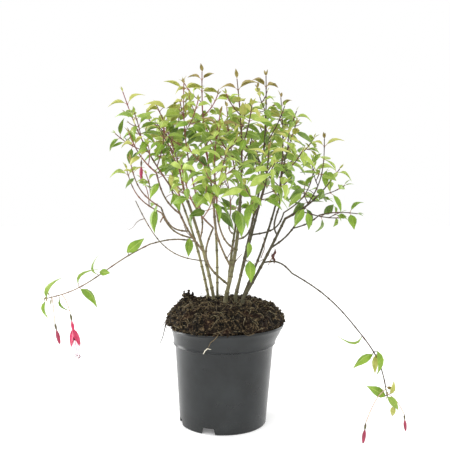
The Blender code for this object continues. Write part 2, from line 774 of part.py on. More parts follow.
def side_routes(mass, route, rng):
    """The shoots that branch from a mass's stem, lowest first, turned evenly round it."""
    made = []
    turn = rng.uniform(0, math.tau)
    for index in range(mass.side_shoots):
        t = 0.16 + 0.20 * index
        turn += math.radians(150)
        ahead = route.heading(t)
        side = Matrix.Rotation(turn, 3, ahead) @ ahead.orthogonal().normalized()
        along = ahead * math.cos(SIDE_SHOOT_ANGLE) + side * math.sin(SIDE_SHOOT_ANGLE)
        reach = route.length() * rng.uniform(0.42, 0.50) * (1 - 0.3 * index)
        start = route.at(t)
        made.append((t, Route(start, start + along * reach, (ahead - along) * 0.10 * reach * -1)))
    return made


def twig(name, route, start_radius, end_radius, scratch, outline):
    """A three-sided twig along a route."""
    count = max(3, round(route.length() / LIMB_STEP) + 1)
    shares = [i / (count - 1) for i in range(count)]
    radii = [start_radius + (end_radius - start_radius) * t for t in shares]
    return tube(name, [route.at(t) for t in shares], radii, scratch, outline=outline)


def hanging(blossom, root, scratch, outline):
    """A bud or an open flower that hangs from the end of its stalk."""
    end, scale = Vector(blossom.end), blossom.scale
    stalk = Route(root, end, Vector((0, 0, 0.15 * (root - end).length)))
    pieces = [twig("stalk", stalk, STALK_RADIUS, STALK_RADIUS, scratch, outline)]
    down = Vector((blossom.lean, 0, -1)).normalized()

    def add(mesh, place, along=down, face=Vector((0, -1, 0))):
        piece = add_object("blossom", mesh, scratch)
        piece.matrix_world = frame_at(place, along, face)
        pieces.append(piece)

    sunk = down * (2 * STALK_RADIUS)
    add(spindle_mesh(OVARY_LENGTH * scale + 2 * sunk.length, OVARY_RADIUS * scale), end - sunk)
    neck = end + down * (OVARY_LENGTH * scale) - sunk
    if blossom.kind == "bud":
        add(spindle_mesh(BUD_LENGTH * scale, BUD_RADIUS * scale, 0.6), neck)
        return pieces
    add(spindle_mesh(TUBE_LENGTH + 4 * sunk.length, OVARY_RADIUS, 0.6), neck)
    mouth = neck + down * TUBE_LENGTH
    for quarter in range(4):
        out = Matrix.Rotation(quarter * math.pi / 2 + 0.4, 3, "Z") @ Vector((1, 0, 0))
        along = down * math.cos(SEPAL_SPREAD) + out * math.sin(SEPAL_SPREAD)
        add(leaf_mesh(SEPAL_LENGTH, 0.8, 1.6), mouth - along * sunk.length, along, out)
    add(spindle_mesh(COROLLA_LENGTH, COROLLA_RADIUS, 0.55), mouth - sunk)
    style = Route(mouth, mouth + down * STYLE_LENGTH, Vector((0, 0, 0)))
    pieces.append(twig("style", style, STALK_RADIUS, STALK_RADIUS, scratch, outline))
    return pieces


def fused(name, trunk, pieces, scratch, parts):
    """One solid from a mass's stem and what grows on it, less the one leaf that won't fuse, if any."""
    for left_out in [None] + pieces[::-1]:
        kept = [piece for piece in pieces if piece is not left_out]
        for solver in ("EXACT", "MANIFOLD"):
            whole = united(name, trunk, kept, solver, scratch, parts)
            if is_closed(whole.data):
                for piece in pieces + [trunk]:
                    bpy.data.objects.remove(piece, do_unlink=True)
                whole.name = name
                return whole
            bpy.data.objects.remove(whole, do_unlink=True)
    raise ValueError(name + " does not fuse")


def united(name, trunk, pieces, solver, scratch, parts):
    """A copy of a trunk with its pieces fused on by one Boolean union, and its loose scraps dropped."""
    crowd = new_collection(name + "_pieces")
    for piece in pieces:
        crowd.objects.link(piece)
    whole = add_object(name, trunk.data.copy(), scratch)
    whole.matrix_world = trunk.matrix_world
    join = whole.modifiers.new("fuse", "BOOLEAN")
    join.operation = "UNION"
    join.operand_type = "COLLECTION"
    join.collection = crowd
    join.solver = solver
    whole = applied(whole, parts, 0)
    bpy.data.collections.remove(crowd)
    keep_largest_body(whole.data)
    return whole


def is_closed(mesh):
    """Whether every edge joins just two faces, and stays so when corners that nearly meet are welded."""
    body = bmesh.new()
    body.from_mesh(mesh)
    bmesh.ops.remove_doubles(body, verts=body.verts, dist=0.1 * WELD)
    closed = all(len(edge.link_faces) == 2 for edge in body.edges)
    body.free()
    return closed


def keep_largest_body(mesh):
    """Drop the scraps that a union leaves loose."""
    body = bmesh.new()
    body.from_mesh(mesh)
    left = set(body.verts)
    groups = []
    while left:
        queue = [left.pop()]
        group = set(queue)
        while queue:
            for edge in queue.pop().link_edges:
                for vertex in edge.verts:
                    if vertex in left:
                        left.discard(vertex)
                        group.add(vertex)
                        queue.append(vertex)
        groups.append(group)
    largest = max(groups, key=len)
    bmesh.ops.delete(body, geom=[vertex for vertex in body.verts if vertex not in largest], context="VERTS")
    body.to_mesh(mesh)
    body.free()


def mass_route(mass, limbs):
    """The way of a mass's own stem, from just clear of its limb's tip or side to its apex."""
    limb = limbs[mass.limb]
    start = limb.place(mass.share)
    if mass.share == 1.0:
        start += limb.tip_heading() * GAP
    route = Route(start, Vector(mass.apex), Vector(mass.bow), Vector(mass.sway))
    if mass.share == 1.0:
        return route
    clear = first_clear(route, 0.75 * SPUR_RADIUS, limb)
    return Route(route.at(clear), route.end, route.bow * (1 - clear))


def build_mass(mass, crown, route, limbs, scratch, outline, parts):
    """A mass's stem, its side shoots, its leaves and its blossom, fused into one solid."""
    rng = random.Random(f"{SEED} {mass.name}")
    limb = limbs[mass.limb]
    ahead = limb.tip_heading() if mass.share == 1.0 else route.heading(0)
    count = max(4, round(route.length() / LIMB_STEP) + 1)
    shares = [i / (count - 1) for i in range(count)]
    points = [route.at(0), route.at(0) + ahead * 2 * GAP] + [route.at(t) for t in shares[1:]]
    base = limb.tip_radius if mass.share == 1.0 else SPUR_RADIUS
    radii = [base, base] + [base + (TWIG_TIP_RADIUS - base) * t for t in shares[1:]]
    trunk = tube("trunk", points, radii, scratch, outline=outline)
    leaf_length = LEAF_LENGTH * mass.leaf_scale
    pieces = []
    for blossom in BLOSSOM:
        if blossom.mass == mass.name:
            pieces += hanging(blossom, route.at(blossom.share), scratch, outline)
    if pieces:
        crown.grown[mass.name] = crown.tree(pieces)
    for t, side in side_routes(mass, route, rng):
        radius = 0.7 * (base + (TWIG_TIP_RADIUS - base) * t)
        piece = twig("side_twig", side, radius, TWIG_TIP_RADIUS, scratch, outline)
        if crown.has_room(piece.data, piece.matrix_world, mass.name):
            pieces.append(piece)
            pieces += grow_leaves(mass, crown, rng, side, scratch, leaf_length, 1)
        else:
            bpy.data.objects.remove(piece, do_unlink=True)
    pieces += grow_leaves(mass, crown, rng, route, scratch, leaf_length, mass.age)
    crown.grown[mass.name] = crown.tree([trunk] + pieces)
    whole = fused(mass.name, trunk, pieces, scratch, parts)
    whole.data.materials.clear()
    whole.data.materials.append(finish(mass.name + "_surface", LEAF_COLOUR, 0.6))


def build():
    """The whole plant in its pot."""
    clear_scene()
    parts = new_collection(NAME)
    cutters = new_collection("cutters")
    scratch = new_collection("growth")
    outlines = new_collection("outlines")
    build_pot(parts, cutters)
    build_soil(parts)
    outline = triangle_outline(outlines)
    limbs = {stem.name: build_stem(stem, parts) for stem in STEMS}
    for bough in BOUGHS + LIMB_ENDS:
        limbs[bough.name] = build_bough(bough, limbs, parts)
    for name, limb in limbs.items():
        colour = STEM_COLOUR if name.startswith("stem") else SHOOT_COLOUR
        limb.solid.data.materials.append(finish(name + "_surface", colour, 0.75))
        limb.solid.data.shade_smooth()
    routes = {mass.name: mass_route(mass, limbs) for mass in MASSES}
    crown = Crown(limbs, routes)
    for mass in MASSES:
        build_mass(mass, crown, routes[mass.name], limbs, scratch, outline, parts)


if __name__ == "__main__":
    build()
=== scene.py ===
"""The looks of a hardy fuchsia in its nursery pot: pot, peat, bark, shoots, leaves and blossom.

Metres, +Z up. The origin is on the pot's underside, under the middle of its base. The plant is seen from -Y.
"""

import json
import logging
import math
import random
from collections import defaultdict
from dataclasses import dataclass, field
from enum import Enum
from typing import Any, Callable, Optional, Sequence

import bmesh
import bpy
import numpy as np
from mathutils import Matrix, Vector
from mathutils.bvhtree import BVHTree

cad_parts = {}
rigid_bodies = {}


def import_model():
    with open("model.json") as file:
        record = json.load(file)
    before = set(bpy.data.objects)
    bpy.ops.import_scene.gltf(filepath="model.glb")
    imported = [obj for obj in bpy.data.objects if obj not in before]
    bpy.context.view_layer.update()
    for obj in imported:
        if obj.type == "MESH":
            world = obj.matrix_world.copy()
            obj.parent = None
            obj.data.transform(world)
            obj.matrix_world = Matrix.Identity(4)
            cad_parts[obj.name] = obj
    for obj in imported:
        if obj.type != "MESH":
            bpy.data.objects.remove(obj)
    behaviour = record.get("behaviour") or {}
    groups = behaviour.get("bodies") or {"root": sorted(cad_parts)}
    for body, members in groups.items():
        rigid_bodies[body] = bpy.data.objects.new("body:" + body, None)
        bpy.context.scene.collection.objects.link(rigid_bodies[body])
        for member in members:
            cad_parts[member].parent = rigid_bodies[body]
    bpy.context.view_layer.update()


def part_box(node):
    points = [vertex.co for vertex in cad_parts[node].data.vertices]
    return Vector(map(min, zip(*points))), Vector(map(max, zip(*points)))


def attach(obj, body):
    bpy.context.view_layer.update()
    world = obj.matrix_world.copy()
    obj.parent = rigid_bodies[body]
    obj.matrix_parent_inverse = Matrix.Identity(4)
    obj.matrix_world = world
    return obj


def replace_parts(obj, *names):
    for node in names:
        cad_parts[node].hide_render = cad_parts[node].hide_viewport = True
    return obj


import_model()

BODY = "root"
WELD = 0.00001
DOWN = Vector((0, 0, -1))
WHITE = (1.0, 1.0, 1.0, 1.0)
Colour = tuple[float, float, float]
Triple = tuple[float, float, float]

# the limbs' and shoots' sizes, as in the solids
SOIL_TOP = 0.1845
FLARE = 1.35
FLARE_HEIGHT = 0.007
LEAF_LENGTH = 0.040
LEAF_WIDTH = 0.46  # of its length
TWIG_TIP_RADIUS = 0.0007
SIDE_SHOOT_ANGLE = math.radians(42)
BRANCH_BEND = 0.10  # how far a side shoot bows up to its parent's way, of its length
SEED = 41

BLADE_FOOT = 0.15  # the share of a blade by its stalk that may touch wood
MOST_LEAVES = 9000
UNTESTED = -1.0  # the spacing of a leaf whose place is listed
RING_EDGE = 0.9  # how thick a ring's ends are, of what it goes round


def paint(red: int, green: int, blue: int) -> Colour:
    """A colour as the eye sees it, each part from 0 to 255, turned into linear light.

    Args:
        red: The red part.
        green: The green part.
        blue: The blue part.

    Returns:
        The colour's parts in linear light, from 0 to 1.
    """

    def linear(part: int) -> float:
        """One part in linear light."""
        share = part / 255
        return share / 12.92 if share <= 0.04045 else ((share + 0.055) / 1.055) ** 2.4

    return linear(red), linear(green), linear(blue)


def paints(*colours: tuple[int, int, int]) -> list[Colour]:
    """Several colours as the eye sees them, turned into linear light."""
    return [paint(*colour) for colour in colours]


# ---- shader wiring


class Signal:
    """A shader socket that can be written into sums."""

    def __init__(self, surface: "Surface", socket: bpy.types.NodeSocket) -> None:
        """Keeps the socket and the surface whose tree it is in."""
        self.surface = surface
        self.socket = socket

    def worked(self, operation: str, first: Any, second: Any) -> "Signal":
        """The outcome of one Math node on two values."""
        return self.surface.node("ShaderNodeMath", {"operation": operation}, {0: first, 1: second})

    def __add__(self, other: Any) -> "Signal":
        """This plus the other."""
        return self.worked("ADD", self, other)

    def __sub__(self, other: Any) -> "Signal":
        """This less the other."""
        return self.worked("SUBTRACT", self, other)

    def __rsub__(self, other: Any) -> "Signal":
        """The other less this."""
        return self.worked("SUBTRACT", other, self)

    def __mul__(self, other: Any) -> "Signal":
        """This times the other."""
        return self.worked("MULTIPLY", self, other)

    def __abs__(self) -> "Signal":
        """This without its sign."""
        return self.worked("ABSOLUTE", self, 0.0)

    def sine(self) -> "Signal":
        """The sine of this."""
        return self.worked("SINE", self, 0.0)


@dataclass(frozen=True)
class Cloud:
    """Cloudy patches, their grain about 1 / scale metres: none where the noise is under low, full over high."""

    scale: float
    low: float
    high: float
    detail: float = 3.0
    share: float = 1.0


@dataclass(frozen=True)
class Slope:
    """A mask that rises along one axis from low to high, in metres, its edge broken by noise."""

    axis: str
    scale: float
    stray: float
    low: float
    high: float
    share: float


class Surface:
    """A material while its nodes are being wired."""

    def __init__(self, name: str) -> None:
        """Starts a material with a plain Principled shader.

        Args:
            name: The material's name.
        """
        self.material = bpy.data.materials.new(name)
        self.material.use_nodes = True
        self.tree = self.material.node_tree
        self.shader = self.tree.nodes["Principled BSDF"]

    def node(
        self,
        kind: str,
        settings: Optional[dict[str, Any]] = None,
        sockets: Optional[dict[Any, Any]] = None,
        output: Any = 0,
    ) -> Signal:
        """Adds any node.

        Args:
            kind: The node's type.
            settings: What is set on the node first; "stops" are a ramp's places and colours.
            sockets: Values or signals for its inputs, by name or number.
            output: The output to go on with.

        Returns:
            That output as a signal.
        """
        made = self.tree.nodes.new(kind)
        for key, value in (settings or {}).items():
            if key == "stops":
                self.set_stops(made.color_ramp, value)
            else:
                setattr(made, key, value)
        for key, value in (sockets or {}).items():
            self.feed(made.inputs[key], value)
        return Signal(self, made.outputs[output])

    def feed(self, socket: bpy.types.NodeSocket, value: Any) -> None:
        """Links a signal to a socket, or sets a plain value on it.

        Args:
            socket: The socket.
            value: A signal, a colour or a plain value.
        """
        if isinstance(value, Signal):
            self.tree.links.new(value.socket, socket)
        elif isinstance(value, tuple) and len(value) == 3 and socket.type == "RGBA":
            socket.default_value = (*value, 1.0)
        else:
            socket.default_value = value

    @staticmethod
    def set_stops(ramp: bpy.types.ColorRamp, stops: Sequence[tuple[float, Colour]]) -> None:
        """Gives a ramp its places and colours.

        Args:
            ramp: The ramp.
            stops: The places, from 0 to 1, each with its colour.
        """
        while len(ramp.elements) < len(stops):
            ramp.elements.new(0.5)
        for element, (place, colour) in zip(ramp.elements, stops):
            element.position = place
            element.color = (*colour, 1.0)

    def place(self) -> Signal:
        """The point on the piece, in metres."""
        return self.node("ShaderNodeTexCoord", output="Object")

    def along(self, axis: str) -> Signal:
        """One coordinate of the point on the piece."""
        return self.node("ShaderNodeSeparateXYZ", sockets={0: self.place()}, output=axis)

    def noise(self, scale: float, detail: float = 3.0, roughness: float = 0.55) -> Signal:
        """Cloudy noise between 0 and 1, its grain about 1 / scale metres."""
        sockets = {"Vector": self.place(), "Scale": scale, "Detail": detail, "Roughness": roughness}
        return self.node("ShaderNodeTexNoise", sockets=sockets)

    def patches(self, cloud: Cloud) -> Signal:
        """The mask of cloudy patches, without its share."""
        return self.spread(self.noise(cloud.scale, cloud.detail), cloud.low, cloud.high)

    def slope(self, slope: Slope) -> Signal:
        """The mask of a slope, without its share."""
        edge = self.along(slope.axis) + self.noise(slope.scale) * slope.stray
        return self.spread(edge, slope.low, slope.high)

    def spread(self, value: Signal, low: float, high: float) -> Signal:
        """The value stretched so that low gives 0 and high gives 1, held between them."""
        return self.node("ShaderNodeMapRange", sockets={0: value, 1: low, 2: high})

    def blend(self, share: Any, first: Any, second: Any) -> Signal:
        """Two colours mixed: share 0 is the first, 1 the second."""
        return self.node("ShaderNodeMix", {"data_type": "RGBA"}, {0: share, 6: first, 7: second}, 2)

    def ramp(self, share: Signal, stops: Sequence[tuple[float, Colour]]) -> Signal:
        """A colour read off a ramp."""
        return self.node("ShaderNodeValToRGB", {"stops": stops}, {0: share})

    def relief(self, height: Signal, depth: float, strength: float = 1.0) -> Signal:
        """The surface's normal, roughened by a height between 0 and 1 that is depth metres deep."""
        return self.node("ShaderNodeBump", sockets={"Height": height, "Distance": depth, "Strength": strength})

    def done(self, **values: Any) -> bpy.types.Material:
        """Sets the shader's own inputs, named with underscores for spaces, and gives the material.

        Args:
            **values: A signal or value for each input.

        Returns:
            The material.
        """
        for key, value in values.items():
            self.feed(self.shader.inputs[key.replace("_", " ")], value)
        return self.material


# ---- finishes


@dataclass(frozen=True)
class PotPlastic:
    """Soft grey-black nursery plastic with a dull shine, a bloom of dust and faint scuffs."""

    dark: Colour = paint(16, 19, 20)
    worn: Colour = paint(40, 44, 46)
    dust: Colour = paint(104, 104, 94)
    bloom: Cloud = Cloud(24.0, 0.35, 0.70, share=0.55)
    scuffs: Cloud = Cloud(420.0, 0.66, 0.78, 2.0, share=0.22)
    specks: Cloud = Cloud(900.0, 0.60, 0.72, 1.0, share=0.35)
    dusty_height: float = 0.030
    grain: tuple[float, float] = (1500.0, 2.0)
    grain_depth: float = 0.00012
    grain_strength: float = 0.5
    gloss_scale: float = 60.0
    gloss: tuple[float, float] = (0.24, 0.10)  # the least roughness, and how much the noise adds
    refraction: float = 1.44

    def material(self) -> bpy.types.Material:
        """The pot's material.

        Returns:
            The material.
        """
        made = Surface("pot_plastic")
        body = made.blend(made.patches(self.bloom) * self.bloom.share, self.dark, self.worn)
        scuffs = made.patches(self.scuffs)
        low = 1 - made.spread(made.along("Z"), 0.0, self.dusty_height)
        specks = made.patches(self.specks)
        colour = made.blend(scuffs * self.scuffs.share, body, self.worn)
        colour = made.blend(low * specks * self.specks.share, colour, self.dust)
        normal = made.relief(made.noise(*self.grain), self.grain_depth, self.grain_strength)
        least, more = self.gloss
        gloss = made.noise(self.gloss_scale) * more + least
        return made.done(Base_Color=colour, Roughness=gloss, Normal=normal, IOR=self.refraction)


@dataclass(frozen=True)
class Peat:
    """Dark brown peat, with painted shade that makes its hollows near black and a painted highlight that makes its
    crests tan.
    """

    # the near-black of the painted shade in the hollows
    hollow_shade: Colour = paint(4, 3, 2)
    body: Colour = paint(30, 23, 14)
    # the tan of the painted highlight on the crests
    crest_light: Colour = paint(124, 106, 78)
    rust: Colour = paint(64, 36, 26)
    grain: tuple[float, float, float] = (260.0, 5.0, 0.72)
    grain_depth: float = 0.0012
    places: tuple[float, float, float] = (0.40, 0.52, 0.66)
    rusty: Cloud = Cloud(55.0, 0.52, 0.66, share=0.5)
    # patches of painted shade, near black
    shade_clumps: Cloud = Cloud(110.0, 0.44, 0.60, share=0.75)
    lift_share: float = 0.2
    roughness: float = 0.95
    shine: float = 0.2

    def material(self, name: str, lift: float = 0.0) -> bpy.types.Material:
        """Peat for the heap or for crumbs.

        Args:
            name: The material's name.
            lift: How much lighter than the heap it is, from 0 to 1.

        Returns:
            The material.
        """
        made = Surface(name)
        grain = made.noise(*self.grain)
        # painted shade in the hollows and a painted highlight on the crests, from the noise that also makes the relief
        stops = list(zip(self.places, (self.hollow_shade, self.body, self.crest_light)))
        colour = made.ramp(grain + lift * self.lift_share, stops)
        colour = made.blend(made.patches(self.rusty) * self.rusty.share, colour, self.rust)
        # painted shade: near-black patches
        colour = made.blend(made.patches(self.shade_clumps) * self.shade_clumps.share, colour, self.hollow_shade)
        normal = made.relief(grain, self.grain_depth)
        return made.done(Base_Color=colour, Roughness=self.roughness, Normal=normal, Specular_IOR_Level=self.shine)


@dataclass(frozen=True)
class Fibre:
    """A dry plant fibre, root or chip: one hue, darker and lighter along its way."""

    name: str
    dark: Colour
    light: Colour
    patches: Cloud = Cloud(160.0, 0.3, 0.7)
    grain: float = 1200.0
    grain_depth: float = 0.0002
    roughness: float = 0.8

    def material(self) -> bpy.types.Material:
        """The fibre's material.

        Returns:
            The material.
        """
        made = Surface(self.name)
        colour = made.blend(made.patches(self.patches), self.dark, self.light)
        normal = made.relief(made.noise(self.grain), self.grain_depth)
        return made.done(Base_Color=colour, Roughness=self.roughness, Normal=normal)


@dataclass(frozen=True)
class Bark:
    """Thin fuchsia bark: tan and peeling at the foot, browner and then red-brown higher up, with painted shade that
    darkens it towards the plant's right side.
    """

    name: str
    foot: Colour
    middle: Colour
    top: Colour
    low: float
    high: float
    scar: Colour = paint(54, 42, 32)
    # the olive of the painted shade towards the plant's right side; the random patches take it too
    shade: Colour = paint(76, 78, 46)
    # the dark brown of the painted shade at the plant's far right, also used for the darkening by the soil
    dark_brown: Colour = paint(46, 36, 26)
    wander: tuple[float, float] = (38.0, 0.5)  # the grain of the hue's wander, and how far it goes
    green: Cloud = Cloud(30.0, 0.42, 0.62, 1.0, share=0.6)
    # painted shade: masks that darken the bark towards the plant's right side, to olive and further right to dark
    # brown
    side: Slope = Slope("X", 14.0, 0.02, 0.004, 0.05, share=0.72)
    right: Slope = Slope("X", 22.0, 0.02, 0.018, 0.052, share=0.62)
    bare: Slope = Slope("Z", 60.0, 0.03, 0.192, 0.232, share=0.55)  # below it the stems darken towards the soil
    streak: Triple = (1.0, 1.0, 0.16)
    streak_scale: float = 900.0
    cracks: tuple[float, float] = (0.50, 0.70)
    crack_share: float = 0.55
    scarred: Cloud = Cloud(120.0, 0.56, 0.66, share=0.45)
    grain_depth: float = 0.0004
    roughness: float = 0.72

    def material(self) -> bpy.types.Material:
        """The bark's material.

        Returns:
            The material.
        """
        made = Surface(self.name)
        height = made.spread(made.along("Z"), self.low, self.high)
        scale, reach = self.wander
        wander = made.noise(scale) * reach - 0.5 * reach
        hue = made.ramp(height + wander, [(0.0, self.foot), (0.5, self.middle), (1.0, self.top)])
        side = made.slope(self.side)
        hue = made.blend(made.patches(self.green) * self.green.share, hue, self.shade)
        # painted shade: the bark turns olive towards the plant's right side
        hue = made.blend(side * self.side.share, hue, self.shade)
        # painted shade: the bark turns dark brown at the plant's far right
        hue = made.blend(made.slope(self.right) * self.right.share, hue, self.dark_brown)
        # the stems darken to dark brown towards the soil
        low_darkening = 1 - made.slope(self.bare)
        hue = made.blend(low_darkening * self.bare.share, hue, self.dark_brown)
        streak = made.node("ShaderNodeMapping", sockets={0: made.place(), 3: self.streak})
        sockets = {"Vector": streak, "Scale": self.streak_scale, "Detail": 3.0}
        grain = made.node("ShaderNodeTexNoise", sockets=sockets)
        colour = made.blend(made.spread(grain, *self.cracks) * self.crack_share, hue, self.scar)
        colour = made.blend(made.patches(self.scarred) * self.scarred.share, colour, self.scar)
        return made.done(Base_Color=colour, Roughness=self.roughness, Normal=made.relief(grain, self.grain_depth))


@dataclass(frozen=True)
class LeafFinish:
    """One tint of the leaves: a satin upper face, its pale rib and side veins, and a matt, paler back."""

    name: str
    light: Colour
    deep: Colour
    rib: Colour
    back: Colour
    patches: Cloud = Cloud(70.0, 0.34, 0.66, 2.0)
    back_share: float = 0.5
    rib_share: float = 0.6
    vein_share: float = 0.22
    rib_edge: tuple[float, float] = (0.006, 0.022)
    vein_edge: tuple[float, float] = (0.72, 1.0)
    vein_lean: float = 0.9
    vein_count: float = 50.0
    vein_depth: float = 0.0004
    vein_strength: float = 0.7
    satin: float = 0.46
    matt: float = 0.68
    shine: float = 0.42

    def face(self) -> bpy.types.Material:
        """The upper face's material.

        Returns:
            The material.
        """
        made = Surface(self.name)
        colour = made.blend(made.patches(self.patches), self.deep, self.light)
        veins, rib = self.veins(made)
        colour = made.blend(rib * self.rib_share, colour, self.rib)
        colour = made.blend(veins * self.vein_share, colour, self.rib)
        normal = made.relief(1 - veins, self.vein_depth, self.vein_strength)
        return made.done(Base_Color=colour, Roughness=self.satin, Normal=normal, Specular_IOR_Level=self.shine)

    def underside(self) -> bpy.types.Material:
        """The back's material.

        Returns:
            The material.
        """
        made = Surface(self.name + "_back")
        patches = made.patches(self.patches)
        veins, rib = self.veins(made)
        colour = made.blend(patches * self.back_share, self.back, self.light)
        colour = made.blend(rib * self.rib_share, colour, self.rib)
        normal = made.relief(veins, self.vein_depth, self.vein_strength)
        return made.done(Base_Color=colour, Roughness=self.matt, Normal=normal)

    def veins(self, made: Surface) -> tuple[Signal, Signal]:
        """Masks for the side veins and for the rib, from the blade's own map.

        Args:
            made: The leaf's surface while it is being wired.

        Returns:
            The side veins' mask and the rib's mask, each 1 on its lines.
        """
        blade = made.node("ShaderNodeUVMap", {"uv_map": "blade"})
        along = made.node("ShaderNodeSeparateXYZ", sockets={0: blade}, output="X")
        aside = abs(made.node("ShaderNodeSeparateXYZ", sockets={0: blade}, output="Y") - 0.5)
        rib = 1 - made.spread(aside, *self.rib_edge)
        veins = made.spread(((along - aside * self.vein_lean) * self.vein_count).sine(), *self.vein_edge)
        return veins, rib


@dataclass(frozen=True)
class PetalFinish:
    """A waxy sepal, petal, ovary or stalk of one hue that deepens in places."""

    name: str
    light: Colour
    deep: Colour
    roughness: float = 0.42
    patches: Cloud = Cloud(240.0, 0.3, 0.7)
    grain: tuple[float, float] = (1600.0, 2.0)
    grain_depth: float = 0.0001
    grain_strength: float = 0.6

    def material(self) -> bpy.types.Material:
        """The petal's material.

        Returns:
            The material.
        """
        made = Surface(self.name)
        colour = made.blend(made.patches(self.patches), self.light, self.deep)
        normal = made.relief(made.noise(*self.grain), self.grain_depth, self.grain_strength)
        return made.done(Base_Color=colour, Roughness=self.roughness, Normal=normal)


class Tint(Enum):
    """The leaves' tints, from the youngest to the shaded old ones."""

    BRONZE = LeafFinish("leaf_bronze", *paints((158, 148, 80), (134, 120, 62), (172, 108, 86), (174, 164, 108)))
    YOUNG = LeafFinish("leaf_young", *paints((186, 190, 98), (158, 162, 68), (210, 198, 134), (202, 206, 140)))
    LIGHT = LeafFinish("leaf_light", *paints((172, 192, 88), (146, 168, 62), (200, 212, 130), (192, 206, 132)))
    BRIGHT = LeafFinish("leaf_bright", *paints((132, 164, 48), (104, 138, 32), (172, 194, 96), (164, 188, 102)))
    FRESH = LeafFinish("leaf_fresh", *paints((144, 170, 66), (112, 142, 46), (178, 196, 110), (174, 192, 118)))
    DEEP = LeafFinish("leaf_deep", *paints((112, 138, 56), (76, 104, 34), (152, 172, 96), (150, 168, 104)))


# ---- modelling by hand


class Bench:
    """One mesh under work in edit mode, shaped with Blender's own tools."""

    def __init__(self, name: str, primitive: Callable[..., Any], **settings: Any) -> None:
        """Adds a primitive, alone selected, and opens it.

        Args:
            name: The piece's name.
            primitive: The operator that adds the primitive.
            **settings: Its size and place.
        """
        bpy.ops.object.select_all(action="DESELECT")
        primitive(**settings)
        self.body = bpy.context.active_object
        self.body.name = name
        self.body.data.name = name
        bpy.ops.object.mode_set(mode="EDIT")

    def pick(self, where: Callable[[Vector], bool]) -> "Bench":
        """Selects the corners whose place passes the test, and what lies between them.

        Args:
            where: The test of a corner's place.

        Returns:
            The bench, to go on with.
        """
        bpy.ops.mesh.select_all(action="DESELECT")
        shape = bmesh.from_edit_mesh(self.body.data)
        for corner in shape.verts:
            corner.select = where(self.body.matrix_world @ corner.co)
        shape.select_flush(True)
        bmesh.update_edit_mesh(self.body.data)
        return self

    def everything(self) -> "Bench":
        """Selects the whole mesh."""
        bpy.ops.mesh.select_all(action="SELECT")
        return self

    def extrude(self, x: float = 0.0, y: float = 0.0, z: float = 0.0) -> "Bench":
        """Extrudes what is selected and moves it."""
        bpy.ops.mesh.extrude_region_move(TRANSFORM_OT_translate={"value": (x, y, z)})
        return self

    def shift(self, x: float = 0.0, y: float = 0.0, z: float = 0.0) -> "Bench":
        """Moves what is selected."""
        bpy.ops.transform.translate(value=(x, y, z))
        return self

    def resize(self, x: float = 1.0, y: float = 1.0, z: float = 1.0, about: Triple = (0, 0, 0)) -> "Bench":
        """Stretches what is selected about a point."""
        bpy.ops.transform.resize(value=(x, y, z), center_override=about)
        return self

    def lean(self, angle: float, axis: str, about: Triple = (0, 0, 0)) -> "Bench":
        """Turns what is selected about an axis through a point; without a window the sign is the other one."""
        bpy.ops.transform.rotate(value=-angle, orient_axis=axis, center_override=about)
        return self

    def done(self) -> bpy.types.Object:
        """Closes the mesh and gives the object, its place, turn and size put into its mesh.

        Returns:
            The finished object.
        """
        weld()
        self.body.data.transform(self.body.matrix_world)
        self.body.matrix_world = Matrix.Identity(4)
        return self.body


def weld() -> None:
    """Welds the mesh that is open in edit mode, turns its faces outwards and closes it."""
    bpy.ops.mesh.select_all(action="SELECT")
    bpy.ops.mesh.remove_doubles(threshold=WELD)
    bpy.ops.mesh.normals_make_consistent(inside=False)
    bpy.ops.object.mode_set(mode="OBJECT")


def choose(*bodies: bpy.types.Object) -> None:
    """Selects these objects alone, the first of them active.

    Args:
        *bodies: The objects.
    """
    bpy.ops.object.select_all(action="DESELECT")
    for body in bodies:
        body.select_set(True)
    bpy.context.view_layer.objects.active = bodies[0]


def linked(name: str, data: bpy.types.ID) -> bpy.types.Object:
    """Puts data into the scene as an object.

    Args:
        name: The object's name.
        data: What it shows: a mesh, a curve, a lamp or a camera.

    Returns:
        The object.
    """
    body = bpy.data.objects.new(name, data)
    bpy.context.scene.collection.objects.link(body)
    return body


def modify(body: bpy.types.Object, kind: str, **settings: Any) -> None:
    """Adds one modifier with its settings and applies it.

    Args:
        body: The object.
        kind: The modifier's type.
        **settings: What is set on the modifier.
    """
    choose(body)
    step = body.modifiers.new("step", kind)
    for key, value in settings.items():
        setattr(step, key, value)
    bpy.ops.object.modifier_apply(modifier=step.name)


def roughen(body: bpy.types.Object, grain: float, strength: float) -> None:
    """Displaces a mesh along its normals by cloudy noise.

    Args:
        body: The object.
        grain: The size of the noise's clouds, in metres.
        strength: The height between the deepest and the highest place, in metres.
    """
    clouds = bpy.data.textures.new(body.name + "_clouds", "CLOUDS")
    clouds.noise_scale = grain
    clouds.noise_depth = 2
    modify(body, "DISPLACE", texture=clouds, texture_coords="LOCAL", strength=strength, mid_level=0.5)


def drop(body: bpy.types.Object) -> None:
    """Removes an object that has served its turn."""
    bpy.data.objects.remove(body, do_unlink=True)


def settled_piece(
    body: bpy.types.Object, materials: Sequence[bpy.types.Material], slot: str, angle: float = 0.0
) -> bpy.types.Object:
    """Dresses a finished piece and lets it ride on the plant.

    Args:
        body: The finished object.
        materials: Its materials, in the order of its faces' indices.
        slot: The record's slot; not used.
        angle: The sharpest edge that is shaded smooth, in degrees; 0 leaves the faces flat.

    Returns:
        The object.
    """
    if angle:
        body.data.shade_smooth()
        body.data.set_sharp_from_angle(angle=math.radians(angle))
    body.data.materials.clear()
    for material in materials:
        body.data.materials.append(material)
    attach(body, BODY)
    triangles = sum(len(face.vertices) - 2 for face in body.data.polygons)
    logging.info("%s: %d triangles", body.name, triangles)
    return body


# ---- shapes that repeat


